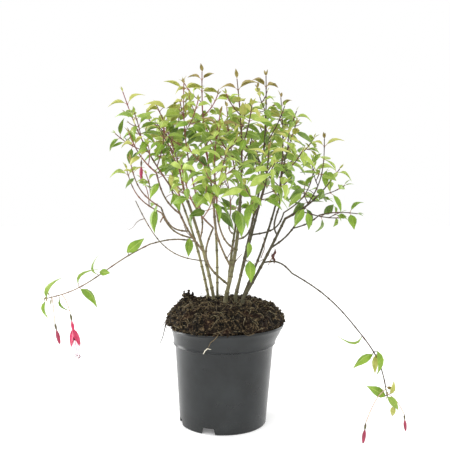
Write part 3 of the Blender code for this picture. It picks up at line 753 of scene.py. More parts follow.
@dataclass
class Pattern:
    """A shape modelled once and kept as arrays, ready to be copied many times."""

    corners: np.ndarray
    faces: list[tuple[int, ...]]
    indices: list[int]

    @classmethod
    def taken(cls, body: bpy.types.Object, backed: bool = False) -> "Pattern":
        """Reads a modelled shape and removes its object.

        Args:
            body: The shape.
            backed: Whether faces that look down get the second material.

        Returns:
            The pattern.
        """
        mesh = body.data
        corners = np.array([tuple(corner.co) for corner in mesh.vertices])
        faces = [tuple(face.vertices) for face in mesh.polygons]
        indices = [1 if backed and face.normal.z < -0.1 else 0 for face in mesh.polygons]
        drop(body)
        return cls(corners, faces, indices)

    def moved(self, matrix: Matrix) -> np.ndarray:
        """The corners after a move."""
        turn = np.array(matrix)
        return self.corners @ turn[:3, :3].T + turn[:3, 3]


@dataclass
class Copies:
    """Many copies of patterns that become one joined piece."""

    name: str
    mapped: bool = False
    corners: list[np.ndarray] = field(default_factory=list)
    faces: list[tuple[int, ...]] = field(default_factory=list)
    indices: list[int] = field(default_factory=list)
    places: list[np.ndarray] = field(default_factory=list)
    count: int = 0

    def add(self, pattern: Pattern, matrix: Matrix) -> None:
        """Adds one copy of a pattern at a place.

        Args:
            pattern: The shape.
            matrix: Its place, turn and size.
        """
        self.corners.append(pattern.moved(matrix))
        self.faces += [tuple(self.count + corner for corner in face) for face in pattern.faces]
        self.indices += pattern.indices
        self.places.append(pattern.corners[:, :2])
        self.count += len(pattern.corners)

    def joined(self) -> bpy.types.Object:
        """The copies as one mesh, with a map of each blade where that is asked for.

        Returns:
            The mesh object.
        """
        mesh = bpy.data.meshes.new(self.name)
        mesh.from_pydata(np.concatenate(self.corners).tolist(), [], self.faces)
        mesh.polygons.foreach_set("material_index", self.indices)
        if self.mapped:
            spots = np.concatenate(self.places) + np.array([0.0, 0.5])
            loops = np.empty(len(mesh.loops), dtype=np.int32)
            mesh.loops.foreach_get("vertex_index", loops)
            mesh.uv_layers.new(name="blade").data.foreach_set("uv", spots[loops].ravel())
        mesh.update()
        return linked(self.name, mesh)


class Form(Enum):
    """How a leaf is bent: its droop from root to tip and the lift of its edges, of its length."""

    FLAT = (0.08, 0.06)
    ARCHED = (0.27, -0.28)
    DROOPED = (0.16, -0.20)
    CUPPED = (0.20, 0.18)
    SWEPT = (0.40, -0.34)
    CURLED = (0.56, -0.20)


@dataclass(frozen=True)
class LeafShape:
    """A pointed fuchsia leaf one metre long on +X, to be made smaller: widest below its middle, with a drawn tip."""

    width: float = LEAF_WIDTH
    thickness: float = 0.013
    widths: tuple[float, ...] = (0.10, 0.80, 1.0, 0.82, 0.40, 0.0)
    rows: int = 4
    fold: tuple[float, float] = (-0.35, 0.15)  # how far the rib and the edges move, of the form's lift
    least: tuple[float, float] = (0.004, 0.05)  # the least width and height that a column keeps
    arch: tuple[float, float] = (1.4, 2.4)

    def pattern(self, form: Form) -> Pattern:
        """Models the leaf in one of its forms.

        Args:
            form: How the leaf is bent.

        Returns:
            The leaf, its back with the second material.
        """
        droop, lift = form.value
        columns = len(self.widths) - 1
        grid = {"x_subdivisions": columns, "y_subdivisions": self.rows, "size": 1.0, "location": (0.5, 0.0, 0.0)}
        bench = Bench("leaf", bpy.ops.mesh.primitive_grid_add, **grid)
        bench.pick(lambda spot: abs(spot.y) < 0.1).shift(z=self.fold[0] * lift)
        bench.pick(lambda spot: abs(spot.y) > 0.4).shift(z=self.fold[1] * lift)
        for index, share in enumerate(self.widths):
            place = index / columns
            bench.pick(lambda spot: abs(spot.x - place) < 0.01)
            bench.resize(y=max(share, self.least[0]) * self.width, z=max(share, self.least[1]), about=(place, 0, 0))
            bench.shift(z=droop * (self.arch[0] * place - self.arch[1] * place * place))
        bench.everything().extrude(z=-self.thickness)
        return Pattern.taken(bench.done(), backed=True)


@dataclass(frozen=True)
class StalkShape:
    """A leaf's own thin stalk, one metre long and one metre in radius, thinner at the blade."""

    sides: int = 5
    end: float = 0.6

    def pattern(self) -> Pattern:
        """Models the stalk.

        Returns:
            The stalk, along +X.
        """
        rod = {"vertices": self.sides, "radius": 1.0, "depth": 1.0, "location": (0, 0, 0.5)}
        bench = Bench("leaf_stalk", bpy.ops.mesh.primitive_cylinder_add, **rod)
        bench.pick(lambda spot: spot.z > 0.9).resize(self.end, self.end, 1.0, about=(0, 0, 1))
        body = bench.done()
        body.data.transform(Matrix.Rotation(math.radians(90), 4, "Y"))
        return Pattern.taken(body)


@dataclass(frozen=True)
class SpindleShape:
    """A body drawn out to both ends on +X: an ovary, a flower's tube or a bud with its four seams."""

    name: str
    ridge: float = 1.0
    waist: float = 0.5
    rings: int = 7
    sides: int = 8
    pinch: float = 0.72  # how wide the half by the root is, of the other half

    def pattern(self) -> Pattern:
        """Models the spindle, one metre long and one metre in radius.

        Returns:
            The spindle, along +X from the origin.
        """
        ball = {"segments": self.sides, "ring_count": self.rings, "radius": 1.0, "location": (0, 0, 0)}
        bench = Bench(self.name, bpy.ops.mesh.primitive_uv_sphere_add, **ball)
        if self.ridge != 1.0:
            bench.pick(lambda spot: min(abs(spot.x), abs(spot.y)) < 0.01 and abs(spot.z) < 0.95)
            bench.resize(self.ridge, self.ridge, 1.0)
        bench.pick(lambda spot: spot.z < -0.3).resize(self.pinch, self.pinch, 1.0)
        bench.everything().shift(z=1.0).resize(1.0, 1.0, 0.5)
        body = bench.done()
        for corner in body.data.vertices:
            share = min(max(corner.co.z, 0.0), 1.0)
            corner.co.z = share ** (math.log(self.waist) / math.log(0.5))
        body.data.transform(Matrix.Rotation(math.radians(90), 4, "Y"))
        return Pattern.taken(body)


@dataclass(frozen=True)
class ClodShape:
    """A crumb of peat, one metre across: a ball knocked flat on some sides."""

    turn: float
    top: Triple = (1.3, 0.8, 0.7)
    flank: Triple = (0.7, 0.8, 1.3)
    nose: tuple[float, float] = (0.14, -0.08)

    def pattern(self) -> Pattern:
        """Models the crumb.

        Returns:
            The crumb, about the origin.
        """
        ball = {"subdivisions": 1, "radius": 0.5, "rotation": (self.turn, self.turn, 0)}
        bench = Bench("crumb", bpy.ops.mesh.primitive_ico_sphere_add, **ball)
        bench.pick(lambda spot: spot.z > 0.3).resize(*self.top)
        bench.pick(lambda spot: spot.x > 0.25).shift(x=self.nose[0], z=self.nose[1])
        bench.pick(lambda spot: spot.y < -0.25).resize(*self.flank)
        return Pattern.taken(bench.done())


@dataclass(frozen=True)
class Strand:
    """A tapering thread through points, such as a shoot, a fibre or a stamen."""

    points: list[Vector]
    radii: list[float]


def strands_piece(name: str, strands: Sequence[Strand], roundness: int) -> bpy.types.Object:
    """Bevelled curves turned into one mesh of closed tubes.

    Args:
        name: The piece's name.
        strands: The threads.
        roundness: The bevel's resolution; each tube has 4 + 2 * roundness sides.

    Returns:
        The mesh object.
    """
    curve = bpy.data.curves.new(name, "CURVE")
    curve.dimensions = "3D"
    curve.bevel_depth = 1.0
    curve.bevel_resolution = roundness
    curve.use_fill_caps = True
    for strand in strands:
        spline = curve.splines.new("POLY")
        spline.points.add(len(strand.points) - 1)
        for spot, point, radius in zip(spline.points, strand.points, strand.radii):
            spot.co = (*point, 1.0)
            spot.radius = radius
    choose(linked(name, curve))
    bpy.ops.object.convert(target="MESH")
    body = bpy.context.active_object
    bpy.ops.object.mode_set(mode="EDIT")
    weld()
    return body


# ---- the plant's lines


@dataclass(frozen=True)
class Route:
    """A bent line from start to end: bowed to one side in the middle and swayed like an S."""

    start: Vector
    end: Vector
    bow: Vector
    sway: Vector = Vector((0, 0, 0))

    def at(self, share: float) -> Vector:
        """The point at this share of the way."""
        bend = self.bow * math.sin(math.pi * share) + self.sway * math.sin(2 * math.pi * share)
        return self.start.lerp(self.end, share) + bend

    def heading(self, share: float) -> Vector:
        """The direction of travel there."""
        step = 1e-3
        return (self.at(share + step) - self.at(share - step)).normalized()

    def length(self) -> float:
        """The length along the line."""
        steps = 24
        return sum((self.at((i + 1) / steps) - self.at(i / steps)).length for i in range(steps))

    def strand(self, steps: int, radius: Callable[[float], float]) -> Strand:
        """The line as a thread."""
        shares = [step / steps for step in range(steps + 1)]
        return Strand([self.at(share) for share in shares], [radius(share) for share in shares])

    def ring(self, spot: float, half: float, thick: float, swollen: float) -> Strand:
        """A short thread round one place of the line, swollen in its middle.

        Args:
            spot: The middle, in metres along the line.
            half: Half the thread's length, in metres.
            thick: The radius of what it goes round.
            swollen: Its own radius in the middle.

        Returns:
            The thread.
        """
        length = self.length()
        around = [self.at((spot + step) / length) for step in (-half, 0.0, half)]
        return Strand(around, [thick * RING_EDGE, swollen, thick * RING_EDGE])


def bumps(spot: float, places: Sequence[float], width: float) -> float:
    """How high the bumps round these places of a line are at a spot, each 1 at its own place."""
    return sum(math.exp(-(((spot - place) / width) ** 2)) for place in places)


@dataclass(frozen=True)
class Limb:
    """A stem or bough: its line and its radii at foot and tip."""

    name: str
    route: Route
    foot_radius: float
    tip_radius: float

    def radius(self, share: float) -> float:
        """The radius at this share of the way."""
        return self.foot_radius + (self.tip_radius - self.foot_radius) * share


@dataclass(frozen=True)
class Stem:
    """A stem from the soil to the place where it enters its leaves."""

    name: str
    foot: tuple[float, float]
    tip: Triple
    bow: Triple
    foot_radius: float
    tip_radius: float


@dataclass(frozen=True)
class Bough:
    """A bough that leaves its parent limb at a share of that limb's way."""

    name: str
    parent: str
    share: float
    tip: Triple
    bow: Triple
    foot_radius: float
    tip_radius: float


@dataclass(frozen=True)
class Mass:
    """A leafy shoot with its side shoots, which grows on from its limb."""

    name: str
    limb: str
    apex: Triple
    bow: Triple
    upright: bool = True
    scale: float = 1.0
    share: float = 1.0
    sway: Triple = (0, 0, 0)
    side_shoots: int = 4
    fullness: float = 0.78
    seed: int = 0


STEMS = [
    Stem("stem_left", (-0.015, 0.012), (-0.061, 0.034, 0.353), (0.004, -0.002, 0), 0.0027, 0.0020),
    Stem("stem_tall_left", (-0.009, 0.024), (-0.0215, 0.036, 0.385), (0.004, 0, 0), 0.0021, 0.0016),
    Stem("stem_centre", (0.004, -0.012), (0.026, -0.030, 0.350), (0.0045, 0, 0), 0.0032, 0.0021),
    Stem("stem_tall_right", (0.019, -0.015), (0.055, 0.008, 0.352), (0, 0, 0), 0.0022, 0.0017),
    Stem("stem_inner_right", (0.030, -0.002), (0.088, 0.025, 0.355), (0.004, -0.002, 0), 0.0019, 0.0015),
    Stem("stem_right", (0.029, -0.027), (0.091, -0.038, 0.313), (0.002, 0.004, 0), 0.0024, 0.0018),
    Stem("stem_back_left", (-0.024, 0.031), (-0.066, 0.084, 0.330), (0.004, -0.010, 0), 0.0023, 0.0016),
    Stem("stem_back", (0.007, 0.034), (0.030, 0.096, 0.345), (-0.003, -0.012, 0), 0.0023, 0.0016),
    Stem("stem_back_right", (0.019, 0.018), (0.062, 0.088, 0.340), (0, -0.010, 0), 0.0023, 0.0016),
]

BOUGHS = [
    Bough("bough_left", "stem_left", 0.42, (-0.0786, -0.010, 0.360), (-0.004, -0.004, -0.006), 0.0018, 0.0014),
    Bough("bough_left_inner", "stem_left", 0.54, (-0.041, -0.016, 0.350), (0.007, -0.010, -0.005), 0.0014, 0.0012),
    Bough("bough_left_second", "bough_left", 0.64, (-0.098, -0.030, 0.380), (-0.004, -0.010, -0.006), 0.0013, 0.0011),
    Bough("bough_left_low", "bough_left", 0.38, (-0.092, -0.022, 0.329), (-0.005, -0.005, -0.010), 0.0013, 0.0011),
    Bough("bough_front_left", "stem_centre", 0.28, (-0.011, -0.022, 0.356), (-0.012, -0.003, 0), 0.0016, 0.0013),
    Bough("bough_elbow", "stem_centre", 0.13, (-0.014, -0.046, 0.300), (-0.021, -0.005, -0.004), 0.0018, 0.0013),
    Bough("bough_front", "stem_centre", 0.47, (-0.009, -0.056, 0.322), (-0.004, -0.008, -0.008), 0.0014, 0.0012),
    Bough("bough_front_right", "stem_centre", 0.57, (0.044, -0.068, 0.318), (0.003, -0.010, -0.008), 0.0014, 0.0012),
    Bough("bough_right_inner", "stem_right", 0.80, (0.080, -0.062, 0.330), (-0.006, -0.008, -0.004), 0.0014, 0.0012),
    Bough("bough_far_right", "stem_right", 0.64, (0.120, -0.014, 0.324), (0.004, 0.006, -0.006), 0.0015, 0.0012),
    Bough("bough_low_right", "bough_far_right", 0.62,
          (0.142, -0.030, 0.318), (0.002, -0.006, -0.002), 0.0011, 0.0010),
    Bough("bough_back_left", "stem_back_left", 0.62,
          (-0.100, 0.066, 0.318), (-0.006, -0.004, -0.008), 0.0014, 0.0012),
    Bough("bough_back", "stem_back", 0.60, (0.012, 0.122, 0.315), (-0.005, 0.010, -0.008), 0.0014, 0.0012),
    Bough("bough_back_right", "stem_back_right", 0.62,
          (0.100, 0.084, 0.318), (0.010, -0.002, -0.008), 0.0014, 0.0012),
    Bough("bough_arching_left", "bough_left", 0.20, (-0.108, -0.030, 0.275), (0, 0, 0.005), 0.0012, 0.0010),
    Bough("bough_arching_right", "stem_right", 0.46, (0.100, -0.052, 0.2345), (0.002, -0.002, 0.008), 0.0013, 0.0011),
    Bough("twig_bare_left", "stem_left", 0.33, (-0.131, -0.015, 0.339), (-0.008, -0.004, -0.024), 0.0009, 0.0007),
    Bough("bough_weeping_right", "bough_arching_right", 1.0,
          (0.1906, -0.110, 0.1557), (0.004, 0, 0.007), 0.0011, 0.0009),
]

MASSES = [
    Mass("foliage_top_left", "bough_left", (-0.148, -0.020, 0.500), (-0.005, 0, -0.005), side_shoots=3, seed=13),
    Mass("foliage_upper_left", "stem_left", (-0.104, 0.030, 0.488), (0.004, 0, 0.004), seed=10),
    Mass("foliage_second_left", "bough_left_second",
         (-0.135, -0.050, 0.437), (-0.003, -0.004, -0.004), scale=0.85, side_shoots=1, fullness=0.55, seed=11),
    Mass("foliage_low_left", "bough_left_low",
         (-0.134, -0.048, 0.398), (-0.008, 0, -0.008), scale=0.75, side_shoots=1, fullness=0.2, seed=7),
    Mass("foliage_inner_left", "bough_left_inner", (-0.0588, -0.004, 0.5145), (-0.006, -0.006, 0), seed=17),
    Mass("foliage_tall_left", "stem_tall_left", (-0.033, 0.040, 0.540), (-0.004, 0, 0), seed=22),
    Mass("foliage_front_left", "bough_front_left",
         (-0.004, -0.056, 0.462), (-0.004, -0.006, 0), fullness=0.62, seed=21),
    Mass("foliage_centre", "stem_centre", (0.0205, -0.030, 0.517), (0.004, 0.004, 0), seed=21),
    Mass("foliage_tall_right", "stem_tall_right", (0.066, 0.020, 0.530), (0.004, 0, 0), seed=12),
    Mass("foliage_inner_right", "stem_inner_right",
         (0.092, 0.056, 0.502), (0.004, 0, 0), scale=0.95, fullness=1.0, seed=17),
    Mass("foliage_upper_right", "bough_right_inner",
         (0.1045, -0.052, 0.448), (-0.006, -0.006, 0), fullness=0.85, seed=19),
    Mass("foliage_far_right", "bough_far_right",
         (0.150, -0.022, 0.431), (0.010, 0, -0.006), scale=0.9, side_shoots=2, fullness=0.5, seed=14),
    Mass("foliage_outer_right", "stem_right",
         (0.183, 0.036, 0.388), (0.002, 0.006, -0.010), scale=0.9, side_shoots=2, fullness=0.5, seed=13),
    Mass("foliage_low_right", "bough_low_right",
         (0.198, -0.032, 0.320), (0, 0, 0.003), upright=False, scale=0.8, side_shoots=0, seed=2),
    Mass("foliage_front_low_left", "bough_elbow",
         (-0.056, -0.108, 0.388), (-0.006, -0.008, -0.008), fullness=0.58, seed=16),
    Mass("foliage_front", "bough_front", (0.004, -0.116, 0.402), (-0.004, -0.010, -0.006), fullness=0.58, seed=9),
    Mass("foliage_front_right", "bough_front_right",
         (0.062, -0.112, 0.408), (0.004, -0.010, -0.006), fullness=0.58, seed=18),
    Mass("foliage_back_left", "stem_back_left", (-0.100, 0.112, 0.466), (-0.006, 0.006, 0), seed=15),
    Mass("foliage_back_low_left", "bough_back_left",
         (-0.156, 0.066, 0.388), (-0.010, 0.004, -0.008), side_shoots=1, fullness=0.3, seed=3),
    Mass("foliage_back", "stem_back", (0.006, 0.124, 0.496), (-0.004, 0.008, 0), seed=1),
    Mass("foliage_back_low", "bough_back", (0.004, 0.172, 0.386), (0.004, 0.010, -0.008), fullness=0.62, seed=17),
    Mass("foliage_back_right", "stem_back_right", (0.072, 0.122, 0.470), (0.008, 0.006, 0), seed=19),
    Mass("foliage_back_low_right", "bough_back_right",
         (0.152, 0.098, 0.394), (0.010, 0.004, -0.008), side_shoots=1, fullness=0.35, seed=8),
    Mass("leaf_spur_left", "bough_arching_left", (-0.049, 0.002, 0.270), (0, 0, 0.002),
         upright=False, scale=0.85, share=0.12, side_shoots=0),
    Mass("leaf_spur_outer_left", "bough_left_low", (-0.093, -0.026, 0.307), (0, 0, 0.002),
         upright=False, scale=0.95, share=0.8, side_shoots=0),
    Mass("leaf_spur_centre", "stem_tall_right", (0.040, -0.016, 0.286), (0, 0, 0.002),
         upright=False, scale=0.85, share=0.56, side_shoots=0),
    Mass("leaf_spur_low_centre", "stem_tall_right", (0.036, -0.026, 0.249), (0, 0, 0.002),
         upright=False, scale=0.85, share=0.34, side_shoots=0),
    Mass("foliage_arching_left", "bough_arching_left", (-0.248, -0.094, 0.204), (0, 0, -0.007),
         upright=False, scale=0.95, sway=(0, 0, 0.004), side_shoots=0),
    Mass("foliage_weeping_right", "bough_weeping_right", (0.219, -0.135, 0.0805), (0.006, 0, 0.004),
         upright=False, scale=0.95, side_shoots=0),
]


class Skeleton:
    """The limbs and the shoots' lines, worked out from the tables."""

    def __init__(self) -> None:
        """Works out every limb, parents first."""
        self.limbs: dict[str, Limb] = {}
        for stem in STEMS:
            collar = Vector((*stem.foot, SOIL_TOP + FLARE_HEIGHT))
            route = Route(collar, Vector(stem.tip), Vector(stem.bow))
            self.limbs[stem.name] = Limb(stem.name, route, stem.foot_radius, stem.tip_radius)
        for bough in BOUGHS:
            start = self.limbs[bough.parent].route.at(bough.share)
            route = Route(start, Vector(bough.tip), Vector(bough.bow))
            self.limbs[bough.name] = Limb(bough.name, route, bough.foot_radius, bough.tip_radius)

    def shoot(self, mass: Mass) -> Route:
        """The line of a mass's own shoot."""
        start = self.limbs[mass.limb].route.at(mass.share)
        return Route(start, Vector(mass.apex), Vector(mass.bow), Vector(mass.sway))


@dataclass
class Room:
    """What is taken up in the crown: wood as balls along its lines, and every leaf as a shell."""

    wood: list[tuple[float, float, float, float]] = field(default_factory=list)
    strands: list[Strand] = field(default_factory=list)
    spots: np.ndarray = field(default_factory=lambda: np.zeros((MOST_LEAVES, 4)))
    shells: list[BVHTree] = field(default_factory=list)
    balls: np.ndarray = field(init=False)
    rods: BVHTree = field(init=False)
    ball_reach: float = 0.004

    def take_wood(self, strand: Strand) -> None:
        """Marks a shoot or limb as taken."""
        self.wood += [(*point, radius) for point, radius in zip(strand.points, strand.radii)]
        self.strands.append(strand)

    def settle_wood(self) -> None:
        """Gathers the wood as balls in one array and as three-sided rods in one tree."""
        self.balls = np.array(self.wood)
        corners: list[Vector] = []
        for strand in self.strands:
            for start, end, radius in zip(strand.points, strand.points[1:], strand.radii):
                out = (end - start).orthogonal().normalized() * radius
                for turn in (0, math.tau / 3, math.tau * 2 / 3):
                    side = Matrix.Rotation(turn, 3, end - start) @ out
                    corners += [start + side, end + side]
        sides = [
            (first + side, first + (side + 2) % 6, first + (side + 3) % 6, first + side + 1)
            for first in range(0, len(corners), 6)
            for side in (0, 2, 4)
        ]
        self.rods = BVHTree.FromPolygons(corners, sides)

    def fits(self, corners: np.ndarray, blade: Pattern, spacing: float) -> bool:
        """Whether a leaf stays clear of wood and of other leaves; if so it is kept.

        Args:
            corners: The leaf's corners.
            blade: The pattern it is a copy of.
            spacing: How far the blade stays from wood, in metres; UNTESTED keeps the leaf as it is.

        Returns:
            Whether it fits.
        """
        middle = corners.mean(axis=0)
        reach = np.linalg.norm(corners - middle, axis=1).max()
        shell = BVHTree.FromPolygons(corners.tolist(), blade.faces)
        if spacing >= 0:
            near = self.balls[np.linalg.norm(self.balls[:, :3] - middle, axis=1) < reach + self.ball_reach]
            free = corners[blade.corners[:, 0] > BLADE_FOOT]
            if len(near):
                apart = np.linalg.norm(free[:, None, :] - near[None, :, :3], axis=2) - near[None, :, 3]
                if apart.min() < spacing:
                    return False
            loose = [face for face in blade.faces if blade.corners[list(face), 0].min() > BLADE_FOOT]
            if BVHTree.FromPolygons(corners.tolist(), loose).overlap(self.rods):
                return False
            taken = self.spots[: len(self.shells)]
            close = np.linalg.norm(taken[:, :3] - middle, axis=1) < taken[:, 3] + reach
            if any(shell.overlap(self.shells[index]) for index in np.flatnonzero(close)):
                return False
        self.spots[len(self.shells)] = (*middle, reach)
        self.shells.append(shell)
        return True


def laid(place: Vector, along: Vector, face: Vector) -> Matrix:
    """The matrix that lays +X along a direction, with +Z as near as it can be to a face direction.

    Args:
        place: Where the origin goes.
        along: The direction that +X takes.
        face: The direction that +Z comes near to.

    Returns:
        The matrix, without any stretch.
    """
    ahead = along.normalized()
    side = face.cross(ahead)
    if side.length < 1e-6:
        side = ahead.orthogonal()
    side.normalize()
    turn = Matrix((ahead, side, ahead.cross(side))).transposed().to_4x4()
    return Matrix.Translation(place) @ turn


def sized(x: float, y: float, z: float) -> Matrix:
    """A matrix that stretches along the three axes."""
    return Matrix.Diagonal((x, y, z, 1.0))


# ---- sub-assemblies


@dataclass
class Pot:
    """The soft nursery pot: tapered wall, banded rim with its bead, foot notches and drainage holes."""

    sides: int = 96
    height: float = 0.150
    base_radius: float = 0.0660
    wall_top_radius: float = 0.0750
    band_bottom_radius: float = 0.0765
    band_bottom: float = 0.122
    band_step: float = 0.002
    lip_drop: float = 0.004
    lip_width: float = 0.0015
    wall: float = 0.0012
    floor: float = 0.0020
    base_bevel: float = 0.0015
    drift: tuple[float, float] = (0.0020, 0.0076)
    rim_tilt: float = 0.032
    notches: tuple[float, ...] = (194.0, 251.0, 14.0, 71.0)
    drains: int = 6
    notch_width: float = 0.025
    notch_top_share: float = 0.68
    notch_height: float = 0.0095
    notch_depth: float = 0.010
    drain_radius: float = 0.004
    drain_circle: float = 0.036
    raised: float = 0.0100
    foot_width: float = 0.0026
    foot_round: float = 0.0006
    foot_corner: float = 0.0010
    wall_rings: int = 7
    step_edge: tuple[float, float] = (0.0002, 0.0006)
    # the bead under the band: how far out and up from the band's lower edge
    bead: tuple[tuple[float, float], ...] = ((0.0002, -0.0004), (0.0017, 0.0006), (0.0012, 0.0019))
    bead_top: float = 0.0016
    band_rings: int = 4
    drain_sides: int = 24
    drain_flare: float = 1.1
    smooth: float = 40

    def __post_init__(self) -> None:
        """Reads the rim's radius from the frame."""
        low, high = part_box("pot")
        self.rim_radius = 0.5 * (high[1] - low[1])

    def profile(self) -> list[tuple[float, float]]:
        """Radii and heights: down the foot ring, up the outside, over the lip and down the inside to the floor.

        Returns:
            The radius and height of each ring, in order.
        """
        rim, lip, top = self.rim_radius, self.lip_width, self.height
        wall_top = self.band_bottom - self.band_step
        foot = self.base_radius - self.foot_width
        outside = [
            (foot - self.foot_round, self.raised),
            (foot, self.raised - self.foot_corner),
            (foot, self.foot_round),
            (foot + self.foot_round, 0.0),
            (self.base_radius - self.base_bevel, 0.0),
            (self.base_radius, self.base_bevel),
        ]
        for ring in range(1, self.wall_rings + 1):
            share = ring / self.wall_rings
            radius = self.base_radius + (self.wall_top_radius - self.base_radius) * share
            outside.append((radius, self.base_bevel + (wall_top - self.base_bevel) * share))
        outside.append((self.wall_top_radius + self.step_edge[0], wall_top + self.step_edge[1]))
        outside += [(self.band_bottom_radius + out, self.band_bottom + up) for out, up in self.bead]
        last = (rim - 0.5 * lip, top - self.lip_drop)
        for ring in range(1, self.band_rings + 1):
            share = ring / self.band_rings
            radius = self.band_bottom_radius + (last[0] - self.band_bottom_radius) * share
            rise = last[1] - self.band_bottom - self.bead_top
            outside.append((radius, self.band_bottom + self.bead_top + rise * share))
        lip_ring = [
            (rim, top - 0.8 * self.lip_drop),
            (rim, top - 0.2 * self.lip_drop),
            (rim - 0.3 * lip, top),
            (rim - lip, top),
            (rim - lip - 0.4 * self.wall, top - 0.2 * self.lip_drop),
            (rim - lip - self.wall, top - self.lip_drop),
        ]
        inside = [
            (self.band_bottom_radius - self.wall, self.band_bottom),
            (self.wall_top_radius - self.wall, self.band_bottom - self.band_step),
            (self.base_radius - self.wall, self.raised + self.floor + self.base_bevel),
            (self.base_radius - self.wall - self.base_bevel, self.raised + self.floor),
        ]
        return outside + lip_ring + inside

    def aside(self, height: float) -> float:
        """How far the soft pot's middle lies to +X at this height.

        Args:
            height: A height above the underside, in metres.

        Returns:
            The distance, in metres.
        """
        low, high = self.drift
        if height <= self.band_bottom:
            return low * height / self.band_bottom
        return low + (high - low) * (height - self.band_bottom) / (self.height - self.band_bottom)

    def shell(self) -> bpy.types.Object:
        """The wall, extruded ring by ring from the underside.

        Returns:
            The wall's object, still without notches and holes.
        """
        radius, height = self.base_radius - 2 * self.foot_width, self.raised
        disc = {"vertices": self.sides, "radius": radius, "fill_type": "NGON", "location": (0, 0, height)}
        bench = Bench("nursery_pot", bpy.ops.mesh.primitive_circle_add, **disc)
        for next_radius, next_height in self.profile():
            step_x = self.aside(next_height) - self.aside(height)
            bench.extrude(x=step_x, z=next_height - height)
            centre = (self.aside(next_height), 0, next_height)
            bench.resize(next_radius / radius, next_radius / radius, 1.0, about=centre)
            radius, height = next_radius, next_height
        for level in sorted({h for _, h in self.profile() if h > self.band_bottom}):
            share = (level - self.band_bottom) / (self.height - self.band_bottom)
            bench.pick(lambda spot: abs(spot.z - level) < WELD)
            bench.lean(-self.rim_tilt * share, "Y", about=(self.aside(level), 0, level))
        return bench.done()

    def cutter(self) -> bpy.types.Object:
        """The blocks and rods that cut the foot notches and the drainage holes, as one object.

        Returns:
            The joined object.
        """
        parts = []
        for turn in map(math.radians, self.notches):
            bench = Bench("notch", bpy.ops.mesh.primitive_cube_add, size=1.0, location=(0, 0, 0))
            bench.resize(self.notch_depth, self.notch_width, 2 * self.notch_height)
            bench.pick(lambda spot: spot.z > 0).resize(1.0, self.notch_top_share, 1.0)
            block = bench.done()
            reach = self.base_radius - 0.1 * self.notch_depth
            place = Matrix.Translation((reach * math.cos(turn), reach * math.sin(turn), 0))
            block.data.transform(place @ Matrix.Rotation(turn, 4, "Z"))
            parts.append(block)
        for index in range(self.drains):
            turn = index * math.tau / self.drains
            spot = (self.drain_circle * math.cos(turn), self.drain_circle * math.sin(turn), self.raised)
            size = {"vertices": self.drain_sides, "radius": self.drain_radius, "depth": 6 * self.floor}
            rod = Bench("drain", bpy.ops.mesh.primitive_cylinder_add, location=spot, **size)
            rod.pick(lambda corner: corner.z > spot[2]).resize(self.drain_flare, self.drain_flare, 1.0, about=spot)
            parts.append(rod.done())
        choose(*parts)
        bpy.ops.object.join()
        return parts[0]

    def build(self) -> list[bpy.types.Object]:
        """The finished pot.

        Returns:
            The pot's one piece.
        """
        pot = self.shell()
        cutter = self.cutter()
        modify(pot, "BOOLEAN", operation="DIFFERENCE", object=cutter, solver="EXACT")
        drop(cutter)
        settled_piece(pot, [PotPlastic().material()], "pot", self.smooth)
        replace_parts(pot, "pot")
        return [pot]


# loose roots and chips: the points that each passes through, and its radius
LOOSE_ROOTS = {
    "dark_fibres": [  # they hang beside the pot's left edge
        ([(-0.074, -0.020, 0.1660), (-0.083, -0.022, 0.1620), (-0.0895, -0.023, 0.1540),
          (-0.0955, -0.023, 0.1475)], 0.0007),
        ([(-0.075, -0.026, 0.1630), (-0.0840, -0.028, 0.1580), (-0.0870, -0.029, 0.1480),
          (-0.0892, -0.029, 0.1380), (-0.0935, -0.028, 0.1270)], 0.0010),
        ([(-0.076, -0.012, 0.1640), (-0.0855, -0.013, 0.1590), (-0.0885, -0.013, 0.1480)], 0.0008),
        ([(-0.076, -0.030, 0.1610), (-0.0825, -0.032, 0.1560), (-0.0855, -0.032, 0.1440)], 0.0006),
    ],
    "tan_fibres": [  # the brown upper part of the root over the front, and the straw chip at the left
        ([(-0.004, -0.0800, 0.1560), (-0.008, -0.0885, 0.1500), (-0.012, -0.0890, 0.1455),
          (-0.0175, -0.0880, 0.1410), (-0.0195, -0.0868, 0.1360), (-0.0220, -0.0855, 0.1320)], 0.0008),
        ([(-0.0600, -0.034, 0.1770), (-0.0550, -0.037, 0.1830), (-0.0500, -0.036, 0.1870)], 0.0014),
    ],
    "pale_root": [  # the root's white ends
        ([(-0.0215, -0.0857, 0.1325), (-0.0250, -0.0843, 0.1290), (-0.0275, -0.0828, 0.1240)], 0.0008),
        ([(-0.0215, -0.0857, 0.1325), (-0.0188, -0.0858, 0.1314), (-0.0165, -0.0852, 0.1312)], 0.0006),
    ],
}

# small piles of crumbs on the heap: their place in X and Y, and the crumbs' sizes from below
CRUMB_PILES = [
    (-0.0600, 0.010, (0.0062, 0.0050, 0.0036, 0.0026)),
    (-0.0530, 0.008, (0.0070, 0.0058, 0.0040)),
    (-0.0480, 0.012, (0.0056, 0.0046, 0.0030)),
    (-0.0560, 0.004, (0.0066, 0.0048)),
    (-0.0215, 0.004, (0.0050, 0.0038, 0.0028)),
    (0.0560, -0.004, (0.0056, 0.0040)),
]


